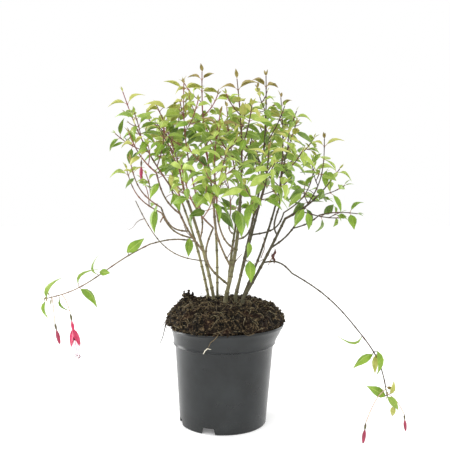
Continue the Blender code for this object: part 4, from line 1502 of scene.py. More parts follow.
@dataclass
class SoilHeap:
    """The peat that fills the pot and is heaped over its rim, with its crumbs, fibres, chips and loose roots."""

    sides: int = 240
    shoulder: float = 0.1575
    flat_radius: float = 0.040
    heap_radius: float = 0.0880
    neck_radius: float = 0.0790
    neck: float = 0.1455
    neck_x: float = 0.0076
    middle_x: float = 0.0035
    side_rings: int = 28
    top_rings: int = 20
    mound: Triple = (-0.0555, 0.011, 0.165)
    mound_steps: tuple[float, ...] = (0.0170, 0.0140, 0.0110, 0.0080, 0.0055)
    mound_step: float = 0.0021
    crumbs: int = 3200
    crumb_sizes: tuple[float, float] = (0.0010, 0.0052)
    rim_crumbs: int = 800
    fibres: int = 840
    seed: int = 5
    overhang: tuple[tuple[float, float], ...] = ((0.0835, 0.1515), (0.0880, 0.1550))
    crown: float = 0.0006
    noises: tuple[tuple[float, float], ...] = ((0.0150, 0.0100), (0.0060, 0.0062), (0.0024, 0.0030))
    above: float = 0.25
    outside: float = 0.12
    rim_heights: tuple[float, float] = (0.1475, 0.1590)
    crumb_turns: tuple[float, ...] = (0.0, 0.9, 2.1)
    crumb_lift: float = 0.18
    crumb_margin: float = 0.001
    crumb_roll: float = 3
    crumb_lengths: tuple[float, float] = (0.9, 1.5)
    crumb_heights: tuple[float, float] = (0.6, 1.0)
    crumb_lightness: float = 0.15
    pile_sway: float = 0.2
    pile_rises: tuple[float, float] = (0.34, 0.24)
    fibre_lifts: tuple[float, ...] = (0.0, 0.0, 0.1, 0.5)
    fibre_lengths: tuple[float, float] = (0.004, 0.019)
    fibre_bows: tuple[float, float] = (0.06, 0.28)
    fibre_radii: tuple[float, float] = (0.00016, 0.00044)
    fibre_sway: float = 0.2
    fibre_parts: tuple[float, float] = (0.4, 0.6)  # how much of it lies before and after its place
    fibre_steps: int = 5
    fibre_taper: float = 0.5
    rim_every: int = 8
    root_taper: float = 0.6
    smooth: float = 70
    fibre_smooth: float = 60

    def rings(self) -> list[tuple[float, float]]:
        """Radii and heights from under the rim, over the shoulder to the heap's middle.

        Returns:
            The radius and height of each ring, in order.
        """
        rings = list(self.overhang)
        for ring in range(self.side_rings + 1):
            angle = 0.5 * math.pi * ring / self.side_rings
            radius = self.flat_radius + (self.heap_radius - self.flat_radius) * math.cos(angle)
            rings.append((radius, self.shoulder + (SOIL_TOP - self.shoulder) * math.sin(angle)))
        for ring in range(1, self.top_rings):
            share = 1 - ring / self.top_rings
            rings.append((self.flat_radius * share, SOIL_TOP + self.crown * (1 - share)))
        return rings

    def heap(self) -> bpy.types.Object:
        """The heap, extruded ring by ring, raised at the left and roughened by coarse and fine noise.

        Returns:
            The heap's object.
        """
        place = (self.neck_x, 0, self.neck)
        disc = {"vertices": self.sides, "radius": self.neck_radius, "fill_type": "NGON", "location": place}
        bench = Bench("soil_heap", bpy.ops.mesh.primitive_circle_add, **disc)
        radius, height, middle = self.neck_radius, self.neck, self.neck_x
        for next_radius, next_height in self.rings():
            bench.extrude(x=self.middle_x - middle, z=next_height - height)
            middle = self.middle_x
            scale = next_radius / radius
            bench.resize(scale, scale, 1.0, about=(middle, 0, next_height))
            radius, height = next_radius, next_height
        x, y, low = self.mound
        for reach in self.mound_steps:
            bench.pick(lambda spot: math.hypot(spot.x - x, spot.y - y) < reach and spot.z > low)
            bench.shift(z=self.mound_step)
        body = bench.done()
        for grain, strength in self.noises:
            roughen(body, grain, strength)
        return body

    def scattered(self, ground: BVHTree, rng: random.Random, spread: float) -> tuple[Vector, Vector]:
        """A chance place on the heap and the way it faces there.

        Args:
            ground: The heap's surface.
            rng: The source of chance.
            spread: How far from the middle the place may lie, in metres.

        Returns:
            The place and the surface's normal there.
        """
        while True:
            turn, reach = rng.uniform(0, math.tau), spread * math.sqrt(rng.random())
            above = Vector((self.middle_x + reach * math.cos(turn), reach * math.sin(turn), self.above))
            place, normal, _, _ = ground.ray_cast(above, DOWN)
            if place:
                return place, normal

    def rim_spot(self, ground: BVHTree, rng: random.Random) -> tuple[Vector, Vector]:
        """A chance place on the heap's overhanging edge.

        Args:
            ground: The heap's surface.
            rng: The source of chance.

        Returns:
            The place and the surface's normal there.
        """
        while True:
            turn = rng.uniform(0, math.tau)
            out = Vector((math.cos(turn), math.sin(turn), 0))
            middle = Vector((self.middle_x, 0, rng.uniform(*self.rim_heights)))
            place, normal, _, _ = ground.ray_cast(middle + out * self.outside, -out)
            if place:
                return place, normal

    def crumb_piece(self, ground: BVHTree, rng: random.Random) -> bpy.types.Object:
        """The crumbs of peat, joined.

        Args:
            ground: The heap's surface.
            rng: The source of chance.

        Returns:
            The crumbs' object.
        """
        shapes = [ClodShape(turn).pattern() for turn in self.crumb_turns]
        copies = Copies("peat_crumbs")
        small, large = self.crumb_sizes
        for index in range(self.crumbs + self.rim_crumbs):
            if index < self.crumbs:
                place, normal = self.scattered(ground, rng, self.heap_radius + self.crumb_margin)
            else:
                place, normal = self.rim_spot(ground, rng)
            size = small + (large - small) * rng.random() ** 3
            self.drop_crumb(copies, rng.choice(shapes), place + normal * self.crumb_lift * size, size, rng)
        before, after = self.pile_rises
        for x, y, sizes in CRUMB_PILES:
            place, _, _, _ = ground.ray_cast(Vector((x, y, self.above)), DOWN)
            for size in sizes:
                place.z += before * size
                self.drop_crumb(copies, rng.choice(shapes), place, size, rng)
                place = place + Vector((rng.uniform(-self.pile_sway, self.pile_sway) * size, 0, after * size))
        return copies.joined()

    def drop_crumb(self, copies: Copies, shape: Pattern, place: Vector, size: float, rng: random.Random) -> None:
        """Adds one crumb, turned at random and a little flattened.

        Args:
            copies: The crumbs so far.
            shape: The crumb's pattern.
            place: Its middle.
            size: Its size, in metres.
            rng: The source of chance.
        """
        turn = Matrix.Rotation(rng.uniform(0, math.tau), 4, "Z")
        turn = turn @ Matrix.Rotation(rng.uniform(0, self.crumb_roll), 4, "X")
        flat = sized(size * rng.uniform(*self.crumb_lengths), size, size * rng.uniform(*self.crumb_heights))
        copies.add(shape, Matrix.Translation(place) @ turn @ flat)

    def fibre_strands(self, ground: BVHTree, rng: random.Random, count: int) -> list[Strand]:
        """Short fibres that lie on the heap or stand out of it, bowed in the middle.

        Args:
            ground: The heap's surface.
            rng: The source of chance.
            count: How many fibres there are.

        Returns:
            The fibres.
        """
        strands = []
        before, after = self.fibre_parts
        for index in range(count):
            on_rim = index % self.rim_every == 0
            place, normal = self.rim_spot(ground, rng) if on_rim else self.scattered(ground, rng, self.heap_radius)
            heading = normal.orthogonal().normalized()
            heading = Matrix.Rotation(rng.uniform(0, math.tau), 3, normal) @ heading
            heading = (heading + normal * rng.choice(self.fibre_lifts)).normalized()
            reach = rng.uniform(*self.fibre_lengths)
            bend = normal.cross(heading) * rng.uniform(-self.fibre_sway, self.fibre_sway) * reach
            bend = bend + normal * rng.uniform(*self.fibre_bows) * reach
            route = Route(place - heading * before * reach, place + heading * after * reach, bend)
            radius = rng.uniform(*self.fibre_radii)
            strands.append(route.strand(self.fibre_steps, lambda share: radius * (1 - self.fibre_taper * share)))
        return strands

    def thread(self, points: Sequence[Triple], radius: float) -> Strand:
        """A loose root through a few places, thinner to its end."""
        radii = [radius * (1 - self.root_taper * index / len(points)) for index in range(len(points))]
        return Strand([Vector(point) for point in points], radii)

    def build(self) -> list[bpy.types.Object]:
        """The heap and what lies on it.

        Returns:
            The pieces, the heap first.
        """
        rng = random.Random(self.seed)
        heap = self.heap()
        ground = BVHTree.FromObject(heap, bpy.context.evaluated_depsgraph_get())
        crumbs = self.crumb_piece(ground, rng)
        dark, tan, straw = (self.fibre_strands(ground, rng, self.fibres // 3) for _ in range(3))
        peat = Peat()
        pieces = [
            settled_piece(heap, [peat.material("peat")], "soil", self.smooth),
            settled_piece(crumbs, [peat.material("peat_crumb", self.crumb_lightness)], "soil"),
        ]
        fibres = (
            ("dark_fibres", dark, Fibre("dark_fibre", paint(34, 28, 18), paint(70, 58, 40))),
            ("tan_fibres", tan, Fibre("tan_fibre", paint(80, 66, 42), paint(126, 108, 76))),
            ("straw_fibres", straw, Fibre("straw_fibre", paint(106, 98, 72), paint(156, 144, 112))),
            ("pale_root", [], Fibre("pale_root", paint(196, 188, 166), paint(228, 224, 210))),
        )
        for name, strands, finish in fibres:
            loose = [self.thread(points, radius) for points, radius in LOOSE_ROOTS.get(name, ())]
            body = strands_piece(name, strands + loose, 0)
            pieces.append(settled_piece(body, [finish.material()], "soil", self.fibre_smooth))
        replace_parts(heap, "soil")
        return pieces


@dataclass
class Wood:
    """Stems and boughs with the relief of their bark and the rings at their leaf scars."""

    skeleton: Skeleton
    room: Room
    ring_step: float = 0.0020
    scar_step: float = 0.023
    scar_width: float = 0.0014
    scar_height: float = 0.30
    ring_half: float = 0.0011
    ring_swell: float = 1.34
    ring_extra: float = 0.0002
    bark_grain: float = 0.0030
    bark_relief: float = 0.0006
    first_scar: tuple[float, float] = (0.3, 1.0)
    scar_jitter: tuple[float, float] = (0.7, 1.3)
    smooth: float = 50
    sunk: float = 0.008
    scars: list[Strand] = field(default_factory=list)

    def limb_strand(self, limb: Limb, rng: random.Random) -> Strand:
        """A limb's line and radii, with its leaf scars and its root flare.

        Args:
            limb: The limb.
            rng: The source of chance.

        Returns:
            The limb as a thread, from its foot up.
        """
        length = limb.route.length()
        count = max(4, round(length / self.ring_step))
        scars = [rng.uniform(*self.first_scar) * self.scar_step]
        while scars[-1] < length:
            scars.append(scars[-1] + self.scar_step * rng.uniform(*self.scar_jitter))
        strand = limb.route.strand(
            count,
            lambda share: limb.radius(share)
            * (1 + self.scar_height * bumps(share * length, scars, self.scar_width)),
        )
        for scar in scars[:-1]:
            thick = limb.radius(scar / length)
            swollen = thick * self.ring_swell + self.ring_extra
            self.scars.append(limb.route.ring(scar, self.ring_half, thick, swollen))
        if limb.name.startswith("stem"):
            flare = ((0.5, 0.5 * FLARE_HEIGHT), (1.0, FLARE_HEIGHT), (1.0, FLARE_HEIGHT + self.sunk))
            for share, depth in flare:
                strand.points.insert(0, limb.route.start - Vector((0, 0, depth)))
                strand.radii.insert(0, limb.foot_radius * (1 + (FLARE - 1) * share))
        return strand

    def build(self) -> list[bpy.types.Object]:
        """The stems' piece and the boughs' piece.

        Returns:
            The stems' piece, the boughs' piece and the piece of rings.
        """
        rng = random.Random(SEED)
        strands: dict[str, list[Strand]] = defaultdict(list)
        for limb in self.skeleton.limbs.values():
            strand = self.limb_strand(limb, rng)
            self.room.take_wood(strand)
            strands["stems" if limb.name.startswith("stem") else "boughs"].append(strand)
        bark = Bark("stem_bark", *paints((166, 158, 116), (140, 134, 92), (106, 92, 68)), SOIL_TOP, 0.36)
        young = Bark("bough_bark", *paints((150, 134, 106), (134, 114, 88), (122, 84, 72)), 0.22, 0.37)
        made = []
        for name, finish, slot, roundness in (("stems", bark, "bark", 4), ("boughs", young, "shoot_bark", 2)):
            body = strands_piece(name, strands[name], roundness)
            roughen(body, self.bark_grain, self.bark_relief)
            made.append(settled_piece(body, [finish.material()], slot, self.smooth))
        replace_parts(made[0], *[stem.name for stem in STEMS])
        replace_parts(made[1], *[bough.name for bough in BOUGHS])
        rings = strands_piece("leaf_scars", self.scars, 2)
        dark = Fibre("leaf_scar", paint(52, 40, 32), paint(88, 68, 52))
        return [*made, settled_piece(rings, [dark.material()], "shoot_bark", self.smooth)]


@dataclass(frozen=True)
class LoneLeaf:
    """A single leaf with its own place: root, tip, the way its face looks, its form, tint and width."""

    root: Triple
    tip: Triple
    face: Triple = (0.2, -1.0, 0.4)
    form: Form = Form.FLAT
    tint: Tint = Tint.BRIGHT
    width: float = 1.0


LONE_LEAVES = [
    # the left arch, from its foot to its end
    LoneLeaf((-0.140, -0.044, 0.2640), (-0.115, -0.044, 0.285)),
    LoneLeaf((-0.181, -0.064, 0.2345), (-0.190, -0.064, 0.258), (-1.0, -0.4, 0.0), Form.CURLED, Tint.FRESH, 0.6),
    LoneLeaf((-0.177, -0.061, 0.2375), (-0.161, -0.066, 0.237), (0.1, -1.0, 0.5), Form.FLAT, Tint.BRIGHT, 1.4),
    LoneLeaf((-0.205, -0.076, 0.2230), (-0.190, -0.076, 0.250), (-1.0, -0.5, 0.4), Form.CURLED, Tint.FRESH, 0.55),
    LoneLeaf((-0.201, -0.074, 0.2150), (-0.174, -0.078, 0.196), (0.6, -0.8, 0.7), Form.SWEPT, Tint.BRIGHT, 0.9),
    LoneLeaf((-0.228, -0.088, 0.2030), (-0.221, -0.090, 0.182), (-1.0, -0.7, 0.0), Form.CURLED, Tint.BRIGHT, 0.7),
    LoneLeaf((-0.244, -0.096, 0.2060), (-0.237, -0.096, 0.236), (-1.0, -0.9, 0.3), Form.CURLED, Tint.FRESH, 0.9),
    LoneLeaf((-0.246, -0.095, 0.2010), (-0.250, -0.097, 0.174), (-1.0, -0.9, 0.0), Form.CURLED, Tint.BRIGHT, 0.9),
    # the right arch, from its bare way to its end
    LoneLeaf((0.190, -0.110, 0.1540), (0.160, -0.112, 0.142), (0.3, -0.3, -1.0), Form.CURLED, Tint.FRESH, 0.6),
    LoneLeaf((0.203, -0.118, 0.1325), (0.175, -0.120, 0.117), (-0.2, -1.0, 0.9), Form.ARCHED, Tint.BRIGHT, 0.8),
    LoneLeaf((0.208, -0.125, 0.1385), (0.216, -0.131, 0.109), (1.0, -1.0, 0.2), Form.SWEPT),
    LoneLeaf((0.208, -0.120, 0.1330), (0.204, -0.122, 0.106), (-0.6, -1.0, 0.2), Form.CUPPED, Tint.YOUNG, 0.7),
    LoneLeaf((0.218, -0.131, 0.0790), (0.193, -0.134, 0.094), (0.2, -1.0, 0.5)),
    LoneLeaf((0.219, -0.137, 0.0800), (0.236, -0.139, 0.063), (0.4, -1.0, 0.4), Form.CUPPED, Tint.FRESH),
    LoneLeaf((0.224, -0.132, 0.0820), (0.231, -0.132, 0.099), (0.5, -1.0, 0.0), Form.CUPPED, Tint.YOUNG),
    LoneLeaf((0.229, -0.132, 0.0660), (0.2265, -0.132, 0.050), (-0.4, -1.0, 0.0), Form.ARCHED, Tint.YOUNG),
    # large old leaves low in the crown
    LoneLeaf((-0.099, -0.032, 0.327), (-0.106, -0.036, 0.293), (-0.6, -1.0, 0.2), Form.ARCHED, Tint.BRIGHT, 0.9),
    LoneLeaf((-0.051, -0.004, 0.282), (-0.052, -0.008, 0.254), (0.3, -1.0, 0.2)),
    LoneLeaf((-0.005, -0.052, 0.323), (0.019, -0.058, 0.302), (0.2, -0.7, 0.7), Form.ARCHED, Tint.DEEP),
    LoneLeaf((0.021, -0.066, 0.325), (0.031, -0.070, 0.289), (0.5, -1.0, 0.3), Form.ARCHED),
    LoneLeaf((0.039, -0.036, 0.251), (0.042, -0.040, 0.219), (0.2, -1.0, 0.2), Form.FLAT, Tint.BRIGHT, 1.1),
    LoneLeaf((0.038, -0.026, 0.278), (0.039, -0.030, 0.254), (0.8, -0.9, 0.2), Form.CUPPED),
    LoneLeaf((0.118, -0.038, 0.327), (0.102, -0.044, 0.304), (-0.2, -0.8, 0.8), Form.ARCHED, Tint.BRIGHT, 1.1),
    LoneLeaf((0.123, -0.042, 0.322), (0.127, -0.046, 0.297), (0.4, -1.0, 0.2), Form.CUPPED),
    LoneLeaf((0.046, -0.056, 0.347), (0.043, -0.060, 0.320), (0.2, -1.0, 0.3), Form.FLAT, Tint.FRESH),
    LoneLeaf((-0.038, -0.026, 0.353), (-0.038, -0.030, 0.324), (-0.3, -1.0, 0.2), Form.FLAT, Tint.FRESH),
    LoneLeaf((-0.129, -0.042, 0.372), (-0.144, -0.044, 0.360), (-0.2, -0.8, 0.8), Form.ARCHED, Tint.DEEP),
    LoneLeaf((-0.093, -0.044, 0.365), (-0.108, -0.050, 0.345), (-0.4, -1.0, 0.4), Form.ARCHED),
    LoneLeaf((-0.073, -0.026, 0.350), (-0.063, -0.030, 0.324), (0.2, -1.0, 0.4)),
    LoneLeaf((-0.078, -0.036, 0.377), (-0.063, -0.040, 0.351), (0.3, -1.0, 0.5), Form.ARCHED, Tint.YOUNG),
    # broad leaves higher up
    LoneLeaf((-0.0854, 0.027, 0.4620), (-0.0665, 0.024, 0.4893), (0.1, -1.0, 0.4), Form.FLAT, Tint.LIGHT, 1.4),
    LoneLeaf((-0.0899, 0.026, 0.4820), (-0.1174, 0.023, 0.4969), (0.3, -0.5, 0.9), Form.SWEPT, Tint.YOUNG, 0.9),
    LoneLeaf((-0.1102, 0.026, 0.4666), (-0.1345, 0.023, 0.4739), (0.1, -0.8, 0.7), Form.ARCHED, Tint.LIGHT, 1.2),
    LoneLeaf((-0.0873, 0.028, 0.4158), (-0.1072, 0.025, 0.4187), (0.0, -1.0, 0.5), Form.FLAT, Tint.DEEP, 1.3),
    LoneLeaf((0.0883, 0.046, 0.4798), (0.1197, 0.043, 0.4654), (0.1, -0.8, 0.8), Form.ARCHED, Tint.FRESH, 1.1),
    LoneLeaf((0.1039, -0.059, 0.4372), (0.1320, -0.062, 0.4242), (0.0, -0.6, 1.0), Form.ARCHED, Tint.DEEP),
    LoneLeaf((0.0892, -0.067, 0.3873), (0.0975, -0.070, 0.3661), (0.4, -1.0, 0.2), Form.FLAT, Tint.DEEP, 1.1),
    LoneLeaf((0.1134, -0.065, 0.4100), (0.1160, -0.068, 0.3887), (0.2, -1.0, 0.3), Form.FLAT, Tint.LIGHT, 1.2),
    LoneLeaf((0.1526, -0.023, 0.3831), (0.1508, -0.026, 0.3594), (-0.3, -1.0, 0.2)),
    LoneLeaf((0.1219, -0.021, 0.3565), (0.0964, -0.024, 0.3461), (0.0, -0.7, 0.9), Form.ARCHED, Tint.DEEP),
    LoneLeaf((0.1161, -0.027, 0.3505), (0.0950, -0.030, 0.3328), (-0.3, -1.0, 0.6), Form.ARCHED, Tint.FRESH, 0.9),
    LoneLeaf((0.1224, 0.092, 0.3702), (0.1452, 0.089, 0.3636), (0.2, -0.8, 0.8), Form.ARCHED, Tint.DEEP),
    LoneLeaf((0.0426, -0.031, 0.4121), (0.0411, -0.034, 0.3871), (-0.2, -1.0, 0.2), Form.FLAT, Tint.DEEP, 1.1),
    LoneLeaf((-0.0423, 0.033, 0.4472), (-0.0547, 0.030, 0.4284), (-0.2, -1.0, 0.4), Form.FLAT, Tint.DEEP, 1.3),
    LoneLeaf((0.0293, -0.031, 0.4631), (0.0292, -0.034, 0.4830), (0.1, -1.0, 0.2), Form.FLAT, Tint.YOUNG, 1.3),
]


@dataclass(frozen=True)
class Shoot:
    """A twig with leaves.

    It has a line, the leaves' size, whether it is upright, whether it is a side shoot, how full it is, and how far
    its tip runs ahead of the first leaves.
    """

    route: Route
    scale: float
    upright: bool
    side: bool
    fullness: float = 1.0
    lead: float = 1.0


@dataclass
class Foliage:
    """Twigs and leaves that grow on from the limbs, in opposite pairs square to the pair below."""

    skeleton: Skeleton
    room: Room
    leaf_shares: tuple[float, ...] = (0.36, 0.88, 0.92, 0.90, 0.82)
    spreads: tuple[float, ...] = (17.0, 66.0, 70.0, 76.0)
    droops: tuple[float, ...] = (0.0, 0.0, 0.12, 0.28, 0.42)
    bare_share: float = 0.34
    bare_chance: float = 0.80
    first_gap: float = 0.0015
    tip_joint: float = 0.0112
    joint_growth: float = 1.11
    widest_joint: float = 0.0185
    main_stretch: float = 1.50
    side_shares: tuple[float, ...] = (0.24, 0.40, 0.55, 0.69)
    side_reaches: tuple[float, ...] = (0.46, 0.40, 0.32, 0.24)
    axil_chance: float = 0.42
    axil_reach: tuple[float, float] = (0.008, 0.022)
    stalk_share: float = 0.19
    stalk_radius: float = 0.00060
    leaf_spacing: float = 0.0006
    roll: float = 0.55
    turns: tuple[float, ...] = (0, 20, -20, 40, -40, 62, -62)
    shrinks: tuple[float, ...] = (1.0, 0.84, 0.68)
    ring_step: float = 0.0045
    ring_half: float = 0.0008
    knot_height: float = 0.35
    knot_width: float = 0.002
    side_turn: float = math.radians(150)
    axil_scale: float = 0.62
    axil_radii: tuple[float, float] = (0.0007, 0.0005)
    joint_sizes: tuple[float, float] = (0.84, 1.08)
    leaf_sizes: tuple[float, float] = (0.80, 1.20)
    leaf_widths: tuple[float, float] = (0.84, 1.20)
    turn_jitter: float = 0.4
    tuft_backs: tuple[float, ...] = (0.001, 0.006, 0.012)
    tuft_size: float = 0.007
    tuft_growth: float = 0.003
    tie_radii: tuple[float, float] = (0.00055, 0.00043)
    tie_rise: float = 0.12
    tie_reach: float = 0.04
    knot_swell: float = 1.35
    knot_extra: float = 0.00025
    leads: tuple[float, float] = (0.4, 1.1)
    side_scale: float = 0.95
    side_scale_step: float = 0.06
    side_girth: float = 0.7
    axil_angles: tuple[float, float] = (35, 60)
    low_droop: float = 1.2
    face_up: float = 0.5
    face_out: float = 0.35
    roll_growth: tuple[float, ...] = (0, 0.4, 1, 2)
    bud_width: float = 0.85
    blade_rise: float = 1.6
    stalk_overlap: float = 1.08
    stalk_girth: tuple[float, float] = (0.7, 0.3)
    last_gap: float = 0.3
    first_turn: float = 0.5
    side_jitter: tuple[float, float] = (0.9, 1.1)
    tie_steps: int = 6
    twig_smooth: float = 60
    leaf_smooth: float = 48
    # how a shoot's mood, age, kind and the height of its tip move it along the ladder of tints
    tint_age: float = 0.85
    tint_mood: float = 2.0
    tint_side: float = 0.8
    tint_main: float = -0.1
    tint_height: float = 0.48
    tint_fall: float = 9
    tint_low_tip: float = 0.44

    def __post_init__(self) -> None:
        """Models the leaf in each form, and its stalk."""
        shape = LeafShape()
        self.blades = {form: shape.pattern(form) for form in Form}
        self.stalk = StalkShape().pattern()
        self.leaves = {tint: Copies("leaves_" + tint.name.lower(), mapped=True) for tint in Tint}
        self.stalks = Copies("leaf_stalks")
        self.twigs: list[Strand] = []
        self.knots: list[Strand] = []
        self.shoots: list[Shoot] = []

    def joints(self, shoot: Shoot) -> list[float]:
        """Distances of the leaf joints back from a shoot's tip, wider apart below and on main shoots.

        Args:
            shoot: The shoot.

        Returns:
            The distances, in metres, the joint at the tip first.
        """
        stretch = 1.0 if shoot.side else self.main_stretch
        places, gap, back, length = [], self.tip_joint, self.first_gap, shoot.route.length()
        while back < length - self.last_gap * self.tip_joint:
            places.append(back)
            back += gap * stretch * (1.0 if len(places) > 1 else shoot.lead)
            gap = min(gap * self.joint_growth, self.widest_joint)
        return places

    def twig(self, shoot: Shoot, foot: float, tip: float) -> None:
        """Grows one twig, with a slight knot at each joint.

        Args:
            shoot: The shoot that the twig carries.
            foot: The radius at its foot, in metres.
            tip: The radius at its tip, in metres.
        """
        length = shoot.route.length()
        count = max(4, round(length / self.ring_step))
        joints = [length - back for back in self.joints(shoot)]
        self.twigs.append(shoot.route.strand(
            count,
            lambda share: (foot + (tip - foot) * share)
            * (1 + self.knot_height * bumps(share * length, joints, self.knot_width)),
        ))
        for joint in joints[1:]:
            thick = foot + (tip - foot) * joint / length
            swollen = thick * self.knot_swell + self.knot_extra
            self.knots.append(shoot.route.ring(joint, self.ring_half, thick, swollen))
        self.room.take_wood(self.twigs[-1])
        self.shoots.append(shoot)

    def lay_out(self, mass: Mass, rng: random.Random) -> None:
        """Grows a mass's shoot, its side shoots and the small shoots in its leaf axils, before any leaf.

        Args:
            mass: The mass.
            rng: The mass's own source of chance.
        """
        limb = self.skeleton.limbs[mass.limb]
        lead = rng.uniform(*self.leads)
        main = Shoot(self.skeleton.shoot(mass), mass.scale, mass.upright, False, mass.fullness, lead)
        foot = limb.tip_radius
        self.twig(main, foot, TWIG_TIP_RADIUS)
        grown = [main]
        turn = rng.uniform(0, math.tau)
        for index in range(mass.side_shoots):
            share, reach = self.side_shares[index], self.side_reaches[index]
            turn += self.side_turn
            length = main.route.length() * reach * rng.uniform(*self.side_jitter)
            route = self.branch(main.route, share, turn, SIDE_SHOOT_ANGLE, length)
            scale = mass.scale * (self.side_scale - self.side_scale_step * index)
            grown.append(Shoot(route, scale, mass.upright, True, mass.fullness))
            girth = self.side_girth * (foot + (TWIG_TIP_RADIUS - foot) * share)
            self.twig(grown[-1], girth, TWIG_TIP_RADIUS)
        if mass.side_shoots < 2:
            return
        for shoot in grown:
            length = shoot.route.length()
            for back in self.joints(shoot)[2:]:
                if rng.random() < self.axil_chance * mass.fullness:
                    turn, reach = rng.uniform(0, math.tau), rng.uniform(*self.axil_reach)
                    angle = math.radians(rng.uniform(*self.axil_angles))
                    route = self.branch(shoot.route, 1 - back / length, turn, angle, reach)
                    self.twig(Shoot(route, self.axil_scale * shoot.scale, True, True), *self.axil_radii)

    @staticmethod
    def branch(route: Route, share: float, turn: float, angle: float, length: float) -> Route:
        """The line of a side shoot that bends up to its parent's way.

        Args:
            route: The parent shoot.
            share: Where it branches off.
            turn: How far round the parent it leaves, in radians.
            angle: How far it leans from the parent, in radians.
            length: Its length, in metres.

        Returns:
            The line.
        """
        ahead = route.heading(share)
        side = Matrix.Rotation(turn, 3, ahead) @ ahead.orthogonal().normalized()
        along = ahead * math.cos(angle) + side * math.sin(angle)
        start = route.at(share)
        return Route(start, start + along * length, (ahead - along) * -BRANCH_BEND * length)

    def leaf_way(self, shoot: Shoot, share: float, turn: float, age: int) -> tuple[Vector, Vector]:
        """Which way a leaf at a joint points, and which way its face looks.

        Args:
            shoot: The shoot that carries the leaf.
            share: The joint's share of the shoot's way.
            turn: How far round the shoot the leaf stands, in radians.
            age: How many joints lie between it and the tip.

        Returns:
            The leaf's direction and its face's direction.
        """
        ahead = shoot.route.heading(share)
        side = Matrix.Rotation(turn, 3, ahead) @ Vector((0, 1, 0)).cross(ahead).normalized()
        spread = math.radians(self.spreads[min(age, len(self.spreads) - 1)])
        along = ahead * math.cos(spread) + side * math.sin(spread)
        along.z -= self.droops[min(age, len(self.droops) - 1)] * (1.0 if shoot.upright else self.low_droop)
        face = (ahead - along * ahead.dot(along)) if shoot.upright else Vector((0, 0, 1))
        return along.normalized(), (face + Vector((0, 0, self.face_up)) + side * self.face_out).normalized()

    def tint_for(self, mood: float, age: int, shoot: Shoot) -> Tint:
        """The tint dealt to a stretch of a shoot, from the shoot's mood and the stretch's age.

        Args:
            mood: The shoot's chance share, from 0 to 1.
            age: How many joints lie between the leaf and the tip.
            shoot: The shoot.

        Returns:
            The tint.
        """
        ladder = (Tint.BRONZE, Tint.YOUNG, Tint.LIGHT, Tint.FRESH, Tint.BRIGHT, Tint.DEEP)
        if not shoot.upright:
            return Tint.LIGHT if mood < 0.5 else Tint.BRIGHT
        tip_height, oldest = shoot.route.at(1).z, len(ladder) - 1
        kind = self.tint_side if shoot.side else self.tint_main
        step = age * self.tint_age + (mood - 0.5) * self.tint_mood + kind
        step += (self.tint_height - tip_height) * self.tint_fall
        if age < 2:
            low, high = 0, oldest if shoot.side or tip_height < self.tint_low_tip else 1
        else:
            low, high = 1, oldest
        return ladder[min(max(round(step), low), high)]

    def put_leaf(self, tint: Tint, form: Form, matrix: Matrix, spacing: float) -> bool:
        """Adds one leaf where there is room.

        Args:
            tint: Its tint.
            form: How it is bent.
            matrix: Its place, way and size.
            spacing: How far it stays from wood, in metres, or UNTESTED.

        Returns:
            Whether it was added.
        """
        blade = self.blades[form]
        if not self.room.fits(blade.moved(matrix), blade, spacing):
            return False
        self.leaves[tint].add(blade, matrix)
        return True

    def dress(self, shoot: Shoot, rng: random.Random) -> None:
        """Opposite pairs of leaves along one shoot.

        Args:
            shoot: The shoot.
            rng: The mass's own source of chance.
        """
        length = shoot.route.length()
        turn, mood = rng.uniform(0, math.pi), rng.random()
        if not shoot.side:
            turn = rng.uniform(-self.first_turn, self.first_turn)
        for age, back in enumerate(self.joints(shoot)):
            turn += math.pi / 2 + rng.uniform(-self.turn_jitter, self.turn_jitter)
            low = length - back < self.bare_share * length and not shoot.side and rng.random() < self.bare_chance
            if low or age > 1 and rng.random() > shoot.fullness:
                continue
            tint = self.tint_for(mood, age, shoot)
            full = LEAF_LENGTH * shoot.scale * self.leaf_shares[min(age, len(self.leaf_shares) - 1)]
            full *= rng.uniform(*self.joint_sizes)
            for half in (0, math.pi):
                size = full * rng.uniform(*self.leaf_sizes)
                self.find_room(shoot, 1 - back / length, turn + half, age, size, tint, rng)

    def find_room(self, shoot: Shoot, share: float, turn: float, age: int, size: float,
                  tint: Tint, rng: random.Random) -> None:
        """Adds one leaf with its stalk, turned round its twig or made smaller until it has room.

        Args:
            shoot: The shoot that carries the leaf.
            share: The joint's share of the shoot's way.
            turn: How far round the shoot the leaf stands, in radians.
            age: How many joints lie between it and the tip.
            size: The length of leaf and stalk, in metres.
            tint: The leaf's tint.
            rng: The mass's own source of chance.
        """
        young = (Form.DROOPED,) if age == 0 else (Form.SWEPT, Form.SWEPT, Form.ARCHED)
        old = (Form.SWEPT, Form.ARCHED, Form.ARCHED, Form.DROOPED, Form.FLAT, Form.CUPPED, Form.CURLED)
        forms = young if age < 2 else old
        form, roll = rng.choice(forms), rng.uniform(-self.roll, self.roll) * self.roll_growth[min(age, 3)]
        wide = rng.uniform(*self.leaf_widths) * (self.bud_width if age == 0 else 1.0)
        root = shoot.route.at(share)
        for shrink in self.shrinks:
            for degrees in self.turns:
                along, face = self.leaf_way(shoot, share, turn + math.radians(degrees), age)
                face = Matrix.Rotation(roll, 3, along) @ face
                stalk, blade = self.stalk_share * size * shrink, (1 - self.stalk_share) * size * shrink
                rise = (along + face * self.blade_rise * form.value[0]).normalized()
                matrix = laid(root + rise * stalk, along, face) @ sized(blade, blade * wide, blade)
                if self.put_leaf(tint, form, matrix, self.leaf_spacing):
                    radius = self.stalk_radius * (self.stalk_girth[0] + self.stalk_girth[1] * size / LEAF_LENGTH)
                    long = stalk * self.stalk_overlap
                    self.stalks.add(self.stalk, laid(root, rise, face) @ sized(long, radius, radius))
                    return

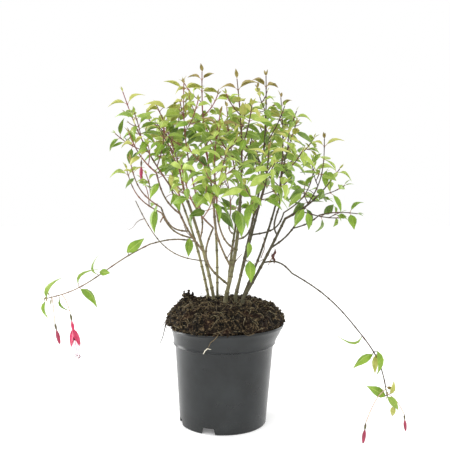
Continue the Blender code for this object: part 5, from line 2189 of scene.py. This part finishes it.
    def hang(self, leaf: LoneLeaf) -> None:
        """A leaf with its own place, tied to the nearest wood by its stalk.

        Args:
            leaf: The leaf.
        """
        root, tip = Vector(leaf.root), Vector(leaf.tip)
        size = (tip - root).length
        matrix = laid(root, tip - root, Vector(leaf.face)) @ sized(size, size * leaf.width, size)
        self.put_leaf(leaf.tint, leaf.form, matrix, UNTESTED)
        balls = self.room.balls
        nearest = Vector(balls[np.linalg.norm(balls[:, :3] - np.array(root), axis=1).argmin()][:3])
        ahead = (tip - root).normalized() * self.tie_reach * size
        tie = Route(nearest, root + ahead, Vector((0, 0, self.tie_rise * (nearest - root).length)))
        thick, thin = self.tie_radii
        self.twigs.append(tie.strand(self.tie_steps, lambda share: thick + (thin - thick) * share))
        self.room.take_wood(self.twigs[-1])

    def tuft(self, mass: Mass, rng: random.Random) -> None:
        """The smallest leaves at the end of an arching shoot.

        Args:
            mass: The arching mass.
            rng: The mass's own source of chance.
        """
        shoot = Shoot(self.skeleton.shoot(mass), 1.0, True, False)
        length = shoot.route.length()
        for age, back in enumerate(self.tuft_backs):
            for half in (0, math.pi):
                turn, size = age * math.pi / 2 + half, self.tuft_size + self.tuft_growth * age
                self.find_room(shoot, 1 - back / length, turn, age, size, Tint.BRONZE, rng)

    def build(self) -> list[bpy.types.Object]:
        """The twigs' piece, the leaf stalks' piece and one piece of leaves for each tint.

        Returns:
            The pieces, the twigs first.
        """
        chances = [random.Random(f"{mass.seed} {mass.name}") for mass in MASSES]
        ranges = []
        for mass, rng in zip(MASSES, chances):
            first = len(self.shoots)
            self.lay_out(mass, rng)
            ranges.append(self.shoots[first:])
        self.room.settle_wood()
        for leaf in LONE_LEAVES:
            self.hang(leaf)
        self.room.settle_wood()
        for mass, rng, shoots in zip(MASSES, chances, ranges):
            if mass.name in ("foliage_arching_left", "foliage_weeping_right"):
                self.tuft(mass, rng)
            elif mass.share == 1.0:
                for shoot in shoots:
                    self.dress(shoot, rng)
        return self.finished()

    def finished(self) -> list[bpy.types.Object]:
        """Joins what has grown and dresses it.

        Returns:
            The pieces, the twigs first.
        """
        hues = paints((146, 118, 86), (136, 86, 72), (144, 66, 74))
        bark = Bark("shoot_bark", *hues, 0.26, 0.50, paint(92, 48, 48))
        twigs = strands_piece("twigs", self.twigs, 1)
        pieces = [settled_piece(twigs, [bark.material()], "foliage", self.twig_smooth)]
        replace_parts(twigs, *[mass.name for mass in MASSES])
        knots = strands_piece("twig_joints", self.knots, 0)
        plum = Fibre("twig_joint", paint(70, 40, 42), paint(104, 66, 56))
        pieces.append(settled_piece(knots, [plum.material()], "foliage"))
        red = PetalFinish("leaf_stalk_red", paint(176, 116, 98), paint(150, 132, 86), 0.5)
        pieces.append(settled_piece(self.stalks.joined(), [red.material()], "foliage", self.twig_smooth))
        for tint, copies in self.leaves.items():
            logging.info("%d leaves in %s", len(copies.corners), tint.name.lower())
            finishes = [tint.value.face(), tint.value.underside()]
            pieces.append(settled_piece(copies.joined(), finishes, "foliage", self.leaf_smooth))
        return pieces


@dataclass(frozen=True)
class Hanging:
    """A bud or an open flower: the shoot and share where its stalk starts, where it ends, and its lean to +X."""

    mass: str
    flower: bool
    share: float
    end: Triple
    lean: float
    scale: float = 1.0


HANGING = [
    Hanging("foliage_arching_left", True, 0.84, (-0.2135, -0.086, 0.1825), 0.16),
    Hanging("foliage_arching_left", False, 0.93, (-0.2345, -0.090, 0.1700), 0.22),
    Hanging("foliage_weeping_right", False, 0.90, (0.1895, -0.142, 0.0470), -0.12, 0.92),
    Hanging("foliage_weeping_right", False, 0.97, (0.2430, -0.132, 0.0550), 0.10, 0.75),
    Hanging("foliage_second_left", False, 0.45, (-0.1160, -0.060, 0.3980), -0.03, 0.9),
]


@dataclass
class Blossom:
    """The hanging flower and the buds: crimson sepals, a violet corolla, stamens and thin red stalks."""

    skeleton: Skeleton
    stalk_radius: float = 0.0006
    ovary: tuple[float, float] = (0.011, 0.0017)
    tube: tuple[float, float] = (0.0145, 0.0024)
    bud: tuple[float, float] = (0.021, 0.0026)
    sepal_length: float = 0.0270
    sepal_width: float = 0.76
    sepal_spread: float = math.radians(21)
    corolla: tuple[float, float] = (0.0150, 0.0042)
    style_length: float = 0.056
    stamens: int = 8
    stalk_rise: float = 0.15
    ovary_end: float = 0.94
    tube_end: float = 0.86
    petal_turn: float = 0.12
    lobe_spread: float = 0.06
    anther_length: float = 0.0014
    stalk_steps: int = 10
    mouth_radius: float = 0.0008
    seat: float = 0.001  # how deep the sepals and petals sit at the tube's mouth
    sepal_depth: float = 0.7
    lobe_girth: tuple[float, float] = (0.6, 0.5)
    stamen_ring: tuple[float, float] = (0.0026, 0.0012)
    stamen_reach: tuple[float, float] = (0.66, 0.04)
    stamen_bow: float = 0.4
    filament_radii: tuple[float, ...] = (0.00032, 0.00020, 0.00016)
    anther_radii: tuple[float, ...] = (0.00085, 0.00060)
    style_radii: tuple[float, ...] = (0.00025, 0.0002)
    stigma_radii: tuple[float, ...] = (0.0007, 0.0005)
    smooth: float = 50

    def __post_init__(self) -> None:
        """Models each shape once."""
        self.spindle = SpindleShape("ovary", waist=0.5).pattern()
        self.bud_shape = SpindleShape("bud", ridge=1.12, waist=0.42).pattern()
        self.petal = LeafShape(width=0.42, thickness=0.030).pattern(Form.FLAT)
        self.red = Copies("sepals")
        self.buds = Copies("buds")
        self.green = Copies("ovaries")
        self.violet = Copies("corolla")
        self.stalks: list[Strand] = []
        self.filaments: list[Strand] = []
        self.anthers: list[Strand] = []

    def hang(self, item: Hanging) -> None:
        """One bud or flower on its stalk.

        Args:
            item: The bud or flower.
        """
        masses = {mass.name: mass for mass in MASSES}
        root = self.skeleton.shoot(masses[item.mass]).at(item.share)
        end = Vector(item.end)
        down = Vector((item.lean, 0, -1)).normalized()
        stalk = Route(root, end, Vector((0, 0, self.stalk_rise * (root - end).length)))
        self.stalks.append(stalk.strand(self.stalk_steps, lambda share: self.stalk_radius))
        place = laid(end, down, Vector((0, -1, 0)))
        length, radius = (part * item.scale for part in self.ovary)
        self.green.add(self.spindle, place @ sized(length, radius, radius))
        neck = Matrix.Translation(down * length * self.ovary_end) @ place
        if not item.flower:
            length, radius = (part * item.scale for part in self.bud)
            self.buds.add(self.bud_shape, neck @ sized(length, radius, radius))
            return
        length, radius = self.tube
        self.red.add(self.spindle, neck @ sized(length, radius, radius))
        self.open_flower(neck.translation + down * length * self.tube_end, down)

    def open_flower(self, mouth: Vector, down: Vector) -> None:
        """The four sepals, the corolla, the stamens and the style below the tube's mouth.

        Args:
            mouth: The middle of the tube's mouth.
            down: The direction in which the flower hangs.
        """
        for quarter in range(4):
            out = Matrix.Rotation((quarter + 0.5) * math.pi / 2 + self.petal_turn, 3, "Z") @ Vector((1, 0, 0))
            along = (down * math.cos(self.sepal_spread) + out * math.sin(self.sepal_spread)).normalized()
            sepal = laid(mouth + out * self.mouth_radius - along * self.seat, along, out)
            length = self.sepal_length
            self.red.add(self.petal, sepal @ sized(length, length * self.sepal_width, length * self.sepal_depth))
            twist = Matrix.Rotation(quarter * math.pi / 2 + self.petal_turn, 3, "Z") @ Vector((1, 0, 0))
            lobe = (down + twist * self.lobe_spread).normalized()
            length, radius = self.corolla
            sheath = laid(mouth + down * self.seat + twist * self.mouth_radius, lobe, twist)
            wide, deep = (radius * part for part in self.lobe_girth)
            self.violet.add(self.spindle, sheath @ sized(length, wide, deep))
        near, wider = self.stamen_ring
        short, longer = self.stamen_reach
        for index in range(self.stamens):
            turn = index * math.tau / self.stamens
            out = Vector((math.cos(turn), math.sin(turn), 0)) * (near + wider * (index % 2))
            end = mouth + down * (self.style_length * (short + longer * (index % 3))) + out
            bent = mouth.lerp(end, 0.5) + out * self.stamen_bow
            self.filaments.append(Strand([mouth, bent, end], list(self.filament_radii)))
            self.anthers.append(Strand([end, end + down * self.anther_length], list(self.anther_radii)))
        tip = mouth + down * self.style_length
        self.filaments.append(Strand([mouth, tip], list(self.style_radii)))
        self.anthers.append(Strand([tip, tip + down * self.anther_length], list(self.stigma_radii)))

    def build(self) -> list[bpy.types.Object]:
        """Every blossom, joined by kind.

        Returns:
            One piece for each kind of part.
        """
        for item in HANGING:
            self.hang(item)
        crimson = PetalFinish("sepal_crimson", paint(208, 54, 100), paint(176, 30, 70), 0.36)
        mauve = PetalFinish("bud_crimson", paint(174, 50, 84), paint(120, 22, 52), 0.40)
        violet = PetalFinish("corolla_violet", paint(112, 20, 62), paint(78, 10, 44), 0.45)
        olive = PetalFinish("ovary_olive", paint(92, 98, 56), paint(86, 60, 46), 0.45)
        stalk = PetalFinish("flower_stalk_pink", paint(204, 188, 158), paint(188, 146, 130), 0.45)
        anther = PetalFinish("anther_plum", paint(96, 74, 86), paint(70, 48, 62), 0.7)
        rose = PetalFinish("filament_rose", paint(226, 130, 160), paint(204, 84, 118), 0.45)
        strands = (
            ("flower_stalks", self.stalks, stalk),
            ("filaments", self.filaments, rose),
            ("anthers", self.anthers, anther),
        )
        joined = ((self.red, crimson), (self.buds, mauve), (self.violet, violet), (self.green, olive))
        made = [(copies.joined(), finish) for copies, finish in joined]
        made += [(strands_piece(name, lines, 1), finish) for name, lines, finish in strands]
        return [settled_piece(body, [finish.material()], "foliage", self.smooth) for body, finish in made]


# the points that each dead twig among the stems passes through
DEAD_TWIGS = [
    [(0.0150, -0.020, 0.2420), (0.0210, -0.024, 0.2520), (0.0280, -0.026, 0.2600)],
    [(0.0060, -0.014, 0.2520), (0.0125, -0.018, 0.2640), (0.0180, -0.022, 0.2810)],
    [(0.0330, -0.020, 0.2400), (0.0500, -0.024, 0.2460), (0.0660, -0.028, 0.2560)],
    [(-0.0460, 0.010, 0.2800), (-0.0560, 0.004, 0.2910), (-0.0600, 0.002, 0.3020)],
    [(0.0560, -0.030, 0.2540), (0.0610, -0.034, 0.2680), (0.0600, -0.036, 0.2860)],
    [(0.0725, -0.038, 0.2560), (0.0690, -0.039, 0.2510), (0.0665, -0.040, 0.2450)],
    [(-0.1176, -0.0116, 0.3122), (-0.1250, -0.014, 0.3100), (-0.1300, -0.015, 0.3060),
     (-0.1345, -0.016, 0.2995), (-0.1400, -0.016, 0.2960), (-0.1440, -0.016, 0.2972)],
]


@dataclass
class DeadWood:
    """The dry bits low in the plant: a shrivelled tuft, a curled leaf, and thin dead twigs."""

    twig_radius: float = 0.0007
    taper: float = 0.0001
    leaves: int = 6
    tuft_place: Triple = (0.0735, -0.036, 0.2585)
    tuft_reach: float = 0.003
    leaf_sizes: tuple[float, float] = (0.007, 0.010)
    leaf_face: Triple = (0.4, -1, 0.2)
    twig_smooth: float = 60
    leaf_smooth: float = 50

    def strand(self, line: Sequence[Triple]) -> Strand:
        """A dead twig through a few points, thinner to its end."""
        return Strand([Vector(point) for point in line], [self.twig_radius - self.taper * i for i in range(len(line))])

    def build(self) -> list[bpy.types.Object]:
        """The dead twigs and the shrivelled leaves.

        Returns:
            The two pieces.
        """
        twigs = strands_piece("dead_twigs", [self.strand(line) for line in DEAD_TWIGS], 1)
        dry = Fibre("dead_twig", paint(96, 76, 62), paint(140, 118, 96))
        husk = LeafShape(width=0.40, thickness=0.03).pattern(Form.CURLED)
        copies = Copies("shrivelled_leaves")
        rng = random.Random(SEED)
        for index in range(self.leaves):
            stray = [rng.uniform(-self.tuft_reach, self.tuft_reach) for _ in range(3)]
            place = Vector(self.tuft_place) + Vector(stray)
            along = Vector((rng.uniform(-0.6, 0.5), rng.uniform(-0.4, 0.4), -1 if index % 2 else 0.8)).normalized()
            size = rng.uniform(*self.leaf_sizes)
            copies.add(husk, laid(place, along, Vector(self.leaf_face)) @ sized(size, size, size))
        brown = Fibre("shrivelled_leaf", paint(60, 26, 24), paint(96, 48, 40))
        return [
            settled_piece(twigs, [dry.material()], "shoot_bark", self.twig_smooth),
            settled_piece(copies.joined(), [brown.material()], "foliage", self.leaf_smooth),
        ]


@dataclass
class Studio:
    """A white floor, a white room and two large soft lamps, seen by one camera."""

    camera_place: Triple = (0.003, -0.99, 0.352)
    camera_pitch: float = math.radians(2.9)
    lens: float = 52.08
    sensor: float = 36.0
    floor_radius: float = 6.0
    glow: float = 0.16
    aim: Triple = (0, 0, 0.3)
    far: float = 50.0
    floor_dark: Colour = (0.93, 0.93, 0.93)
    floor_light: Colour = (0.95, 0.95, 0.95)
    floor_roughness: float = 0.9

    def build(self) -> None:
        """Sets up floor, room, lamps and camera."""
        self.floor()
        self.room()
        self.lamp("key_lamp", (-0.9, -1.3, 1.7), (1.6, 1.6), 15.0)
        self.lamp("fill_lamp", (1.4, -0.8, 1.2), (1.6, 1.6), 8.0)
        self.lamp("left_strip", (-1.5, 0.6, 0.5), (0.7, 1.8), 30.0)
        self.lamp("right_strip", (1.5, 0.9, 0.5), (0.5, 1.8), 12.0)
        self.camera()
        bpy.context.scene.view_settings.view_transform = "Standard"

    def floor(self) -> None:
        """The plain pale floor."""
        disc = {"vertices": 64, "radius": 0.5 * self.floor_radius, "fill_type": "NGON"}
        bench = Bench("floor", bpy.ops.mesh.primitive_circle_add, **disc)
        bench.everything().resize(2.0, 2.0, 1.0)
        body = bench.done()
        made = Surface("floor_white")
        tone = made.blend(made.noise(2.0), self.floor_dark, self.floor_light)
        look = {"Base_Color": tone, "Roughness": self.floor_roughness}
        body.data.materials.append(made.done(**look, Emission_Color=WHITE, Emission_Strength=self.glow))
        if body.data.polygons[0].normal.z < 0:
            body.data.flip_normals()

    @staticmethod
    def room() -> None:
        """White light from all round."""
        world = bpy.data.worlds.new("white_room")
        world.use_nodes = True
        light = world.node_tree.nodes["Background"]
        light.inputs["Color"].default_value = WHITE
        light.inputs["Strength"].default_value = 1.0
        bpy.context.scene.world = world

    def lamp(self, name: str, place: Triple, size: tuple[float, float], power: float) -> None:
        """A large soft lamp that looks at the plant's middle.

        Args:
            name: The lamp's name.
            place: Where it stands.
            size: Its width and height, in metres.
            power: Its power, in watts.
        """
        light = bpy.data.lights.new(name, "AREA")
        light.shape = "RECTANGLE"
        light.size, light.size_y = size
        light.energy = power
        body = linked(name, light)
        body.location = place
        aim = Vector(self.aim) - Vector(place)
        body.rotation_euler = aim.to_track_quat("-Z", "Y").to_euler()

    def camera(self) -> None:
        """The camera, a metre in front of the plant."""
        view = bpy.data.cameras.new("camera")
        view.lens = self.lens
        view.sensor_width = self.sensor
        view.clip_end = self.far
        body = linked("camera", view)
        body.location = self.camera_place
        body.rotation_euler = (math.radians(90) - self.camera_pitch, 0, 0)
        bpy.context.scene.camera = body


def write_sizes() -> None:
    """Brings the view layer up to date."""
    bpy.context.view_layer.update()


def main() -> None:
    """Builds the studio and the plant, piece by piece."""
    logging.basicConfig(level=logging.INFO, format="%(message)s")
    Studio().build()
    skeleton = Skeleton()
    room = Room()
    assemblies = (
        ("pot", Pot()),
        ("soil", SoilHeap()),
        ("wood", Wood(skeleton, room)),
        ("foliage", Foliage(skeleton, room)),
        ("blossom", Blossom(skeleton)),
        ("dead wood", DeadWood()),
    )
    for label, assembly in assemblies:
        pieces = assembly.build()
        logging.info("%s: %d pieces", label, len(pieces))
    write_sizes()


if __name__ == "__main__":
    main()
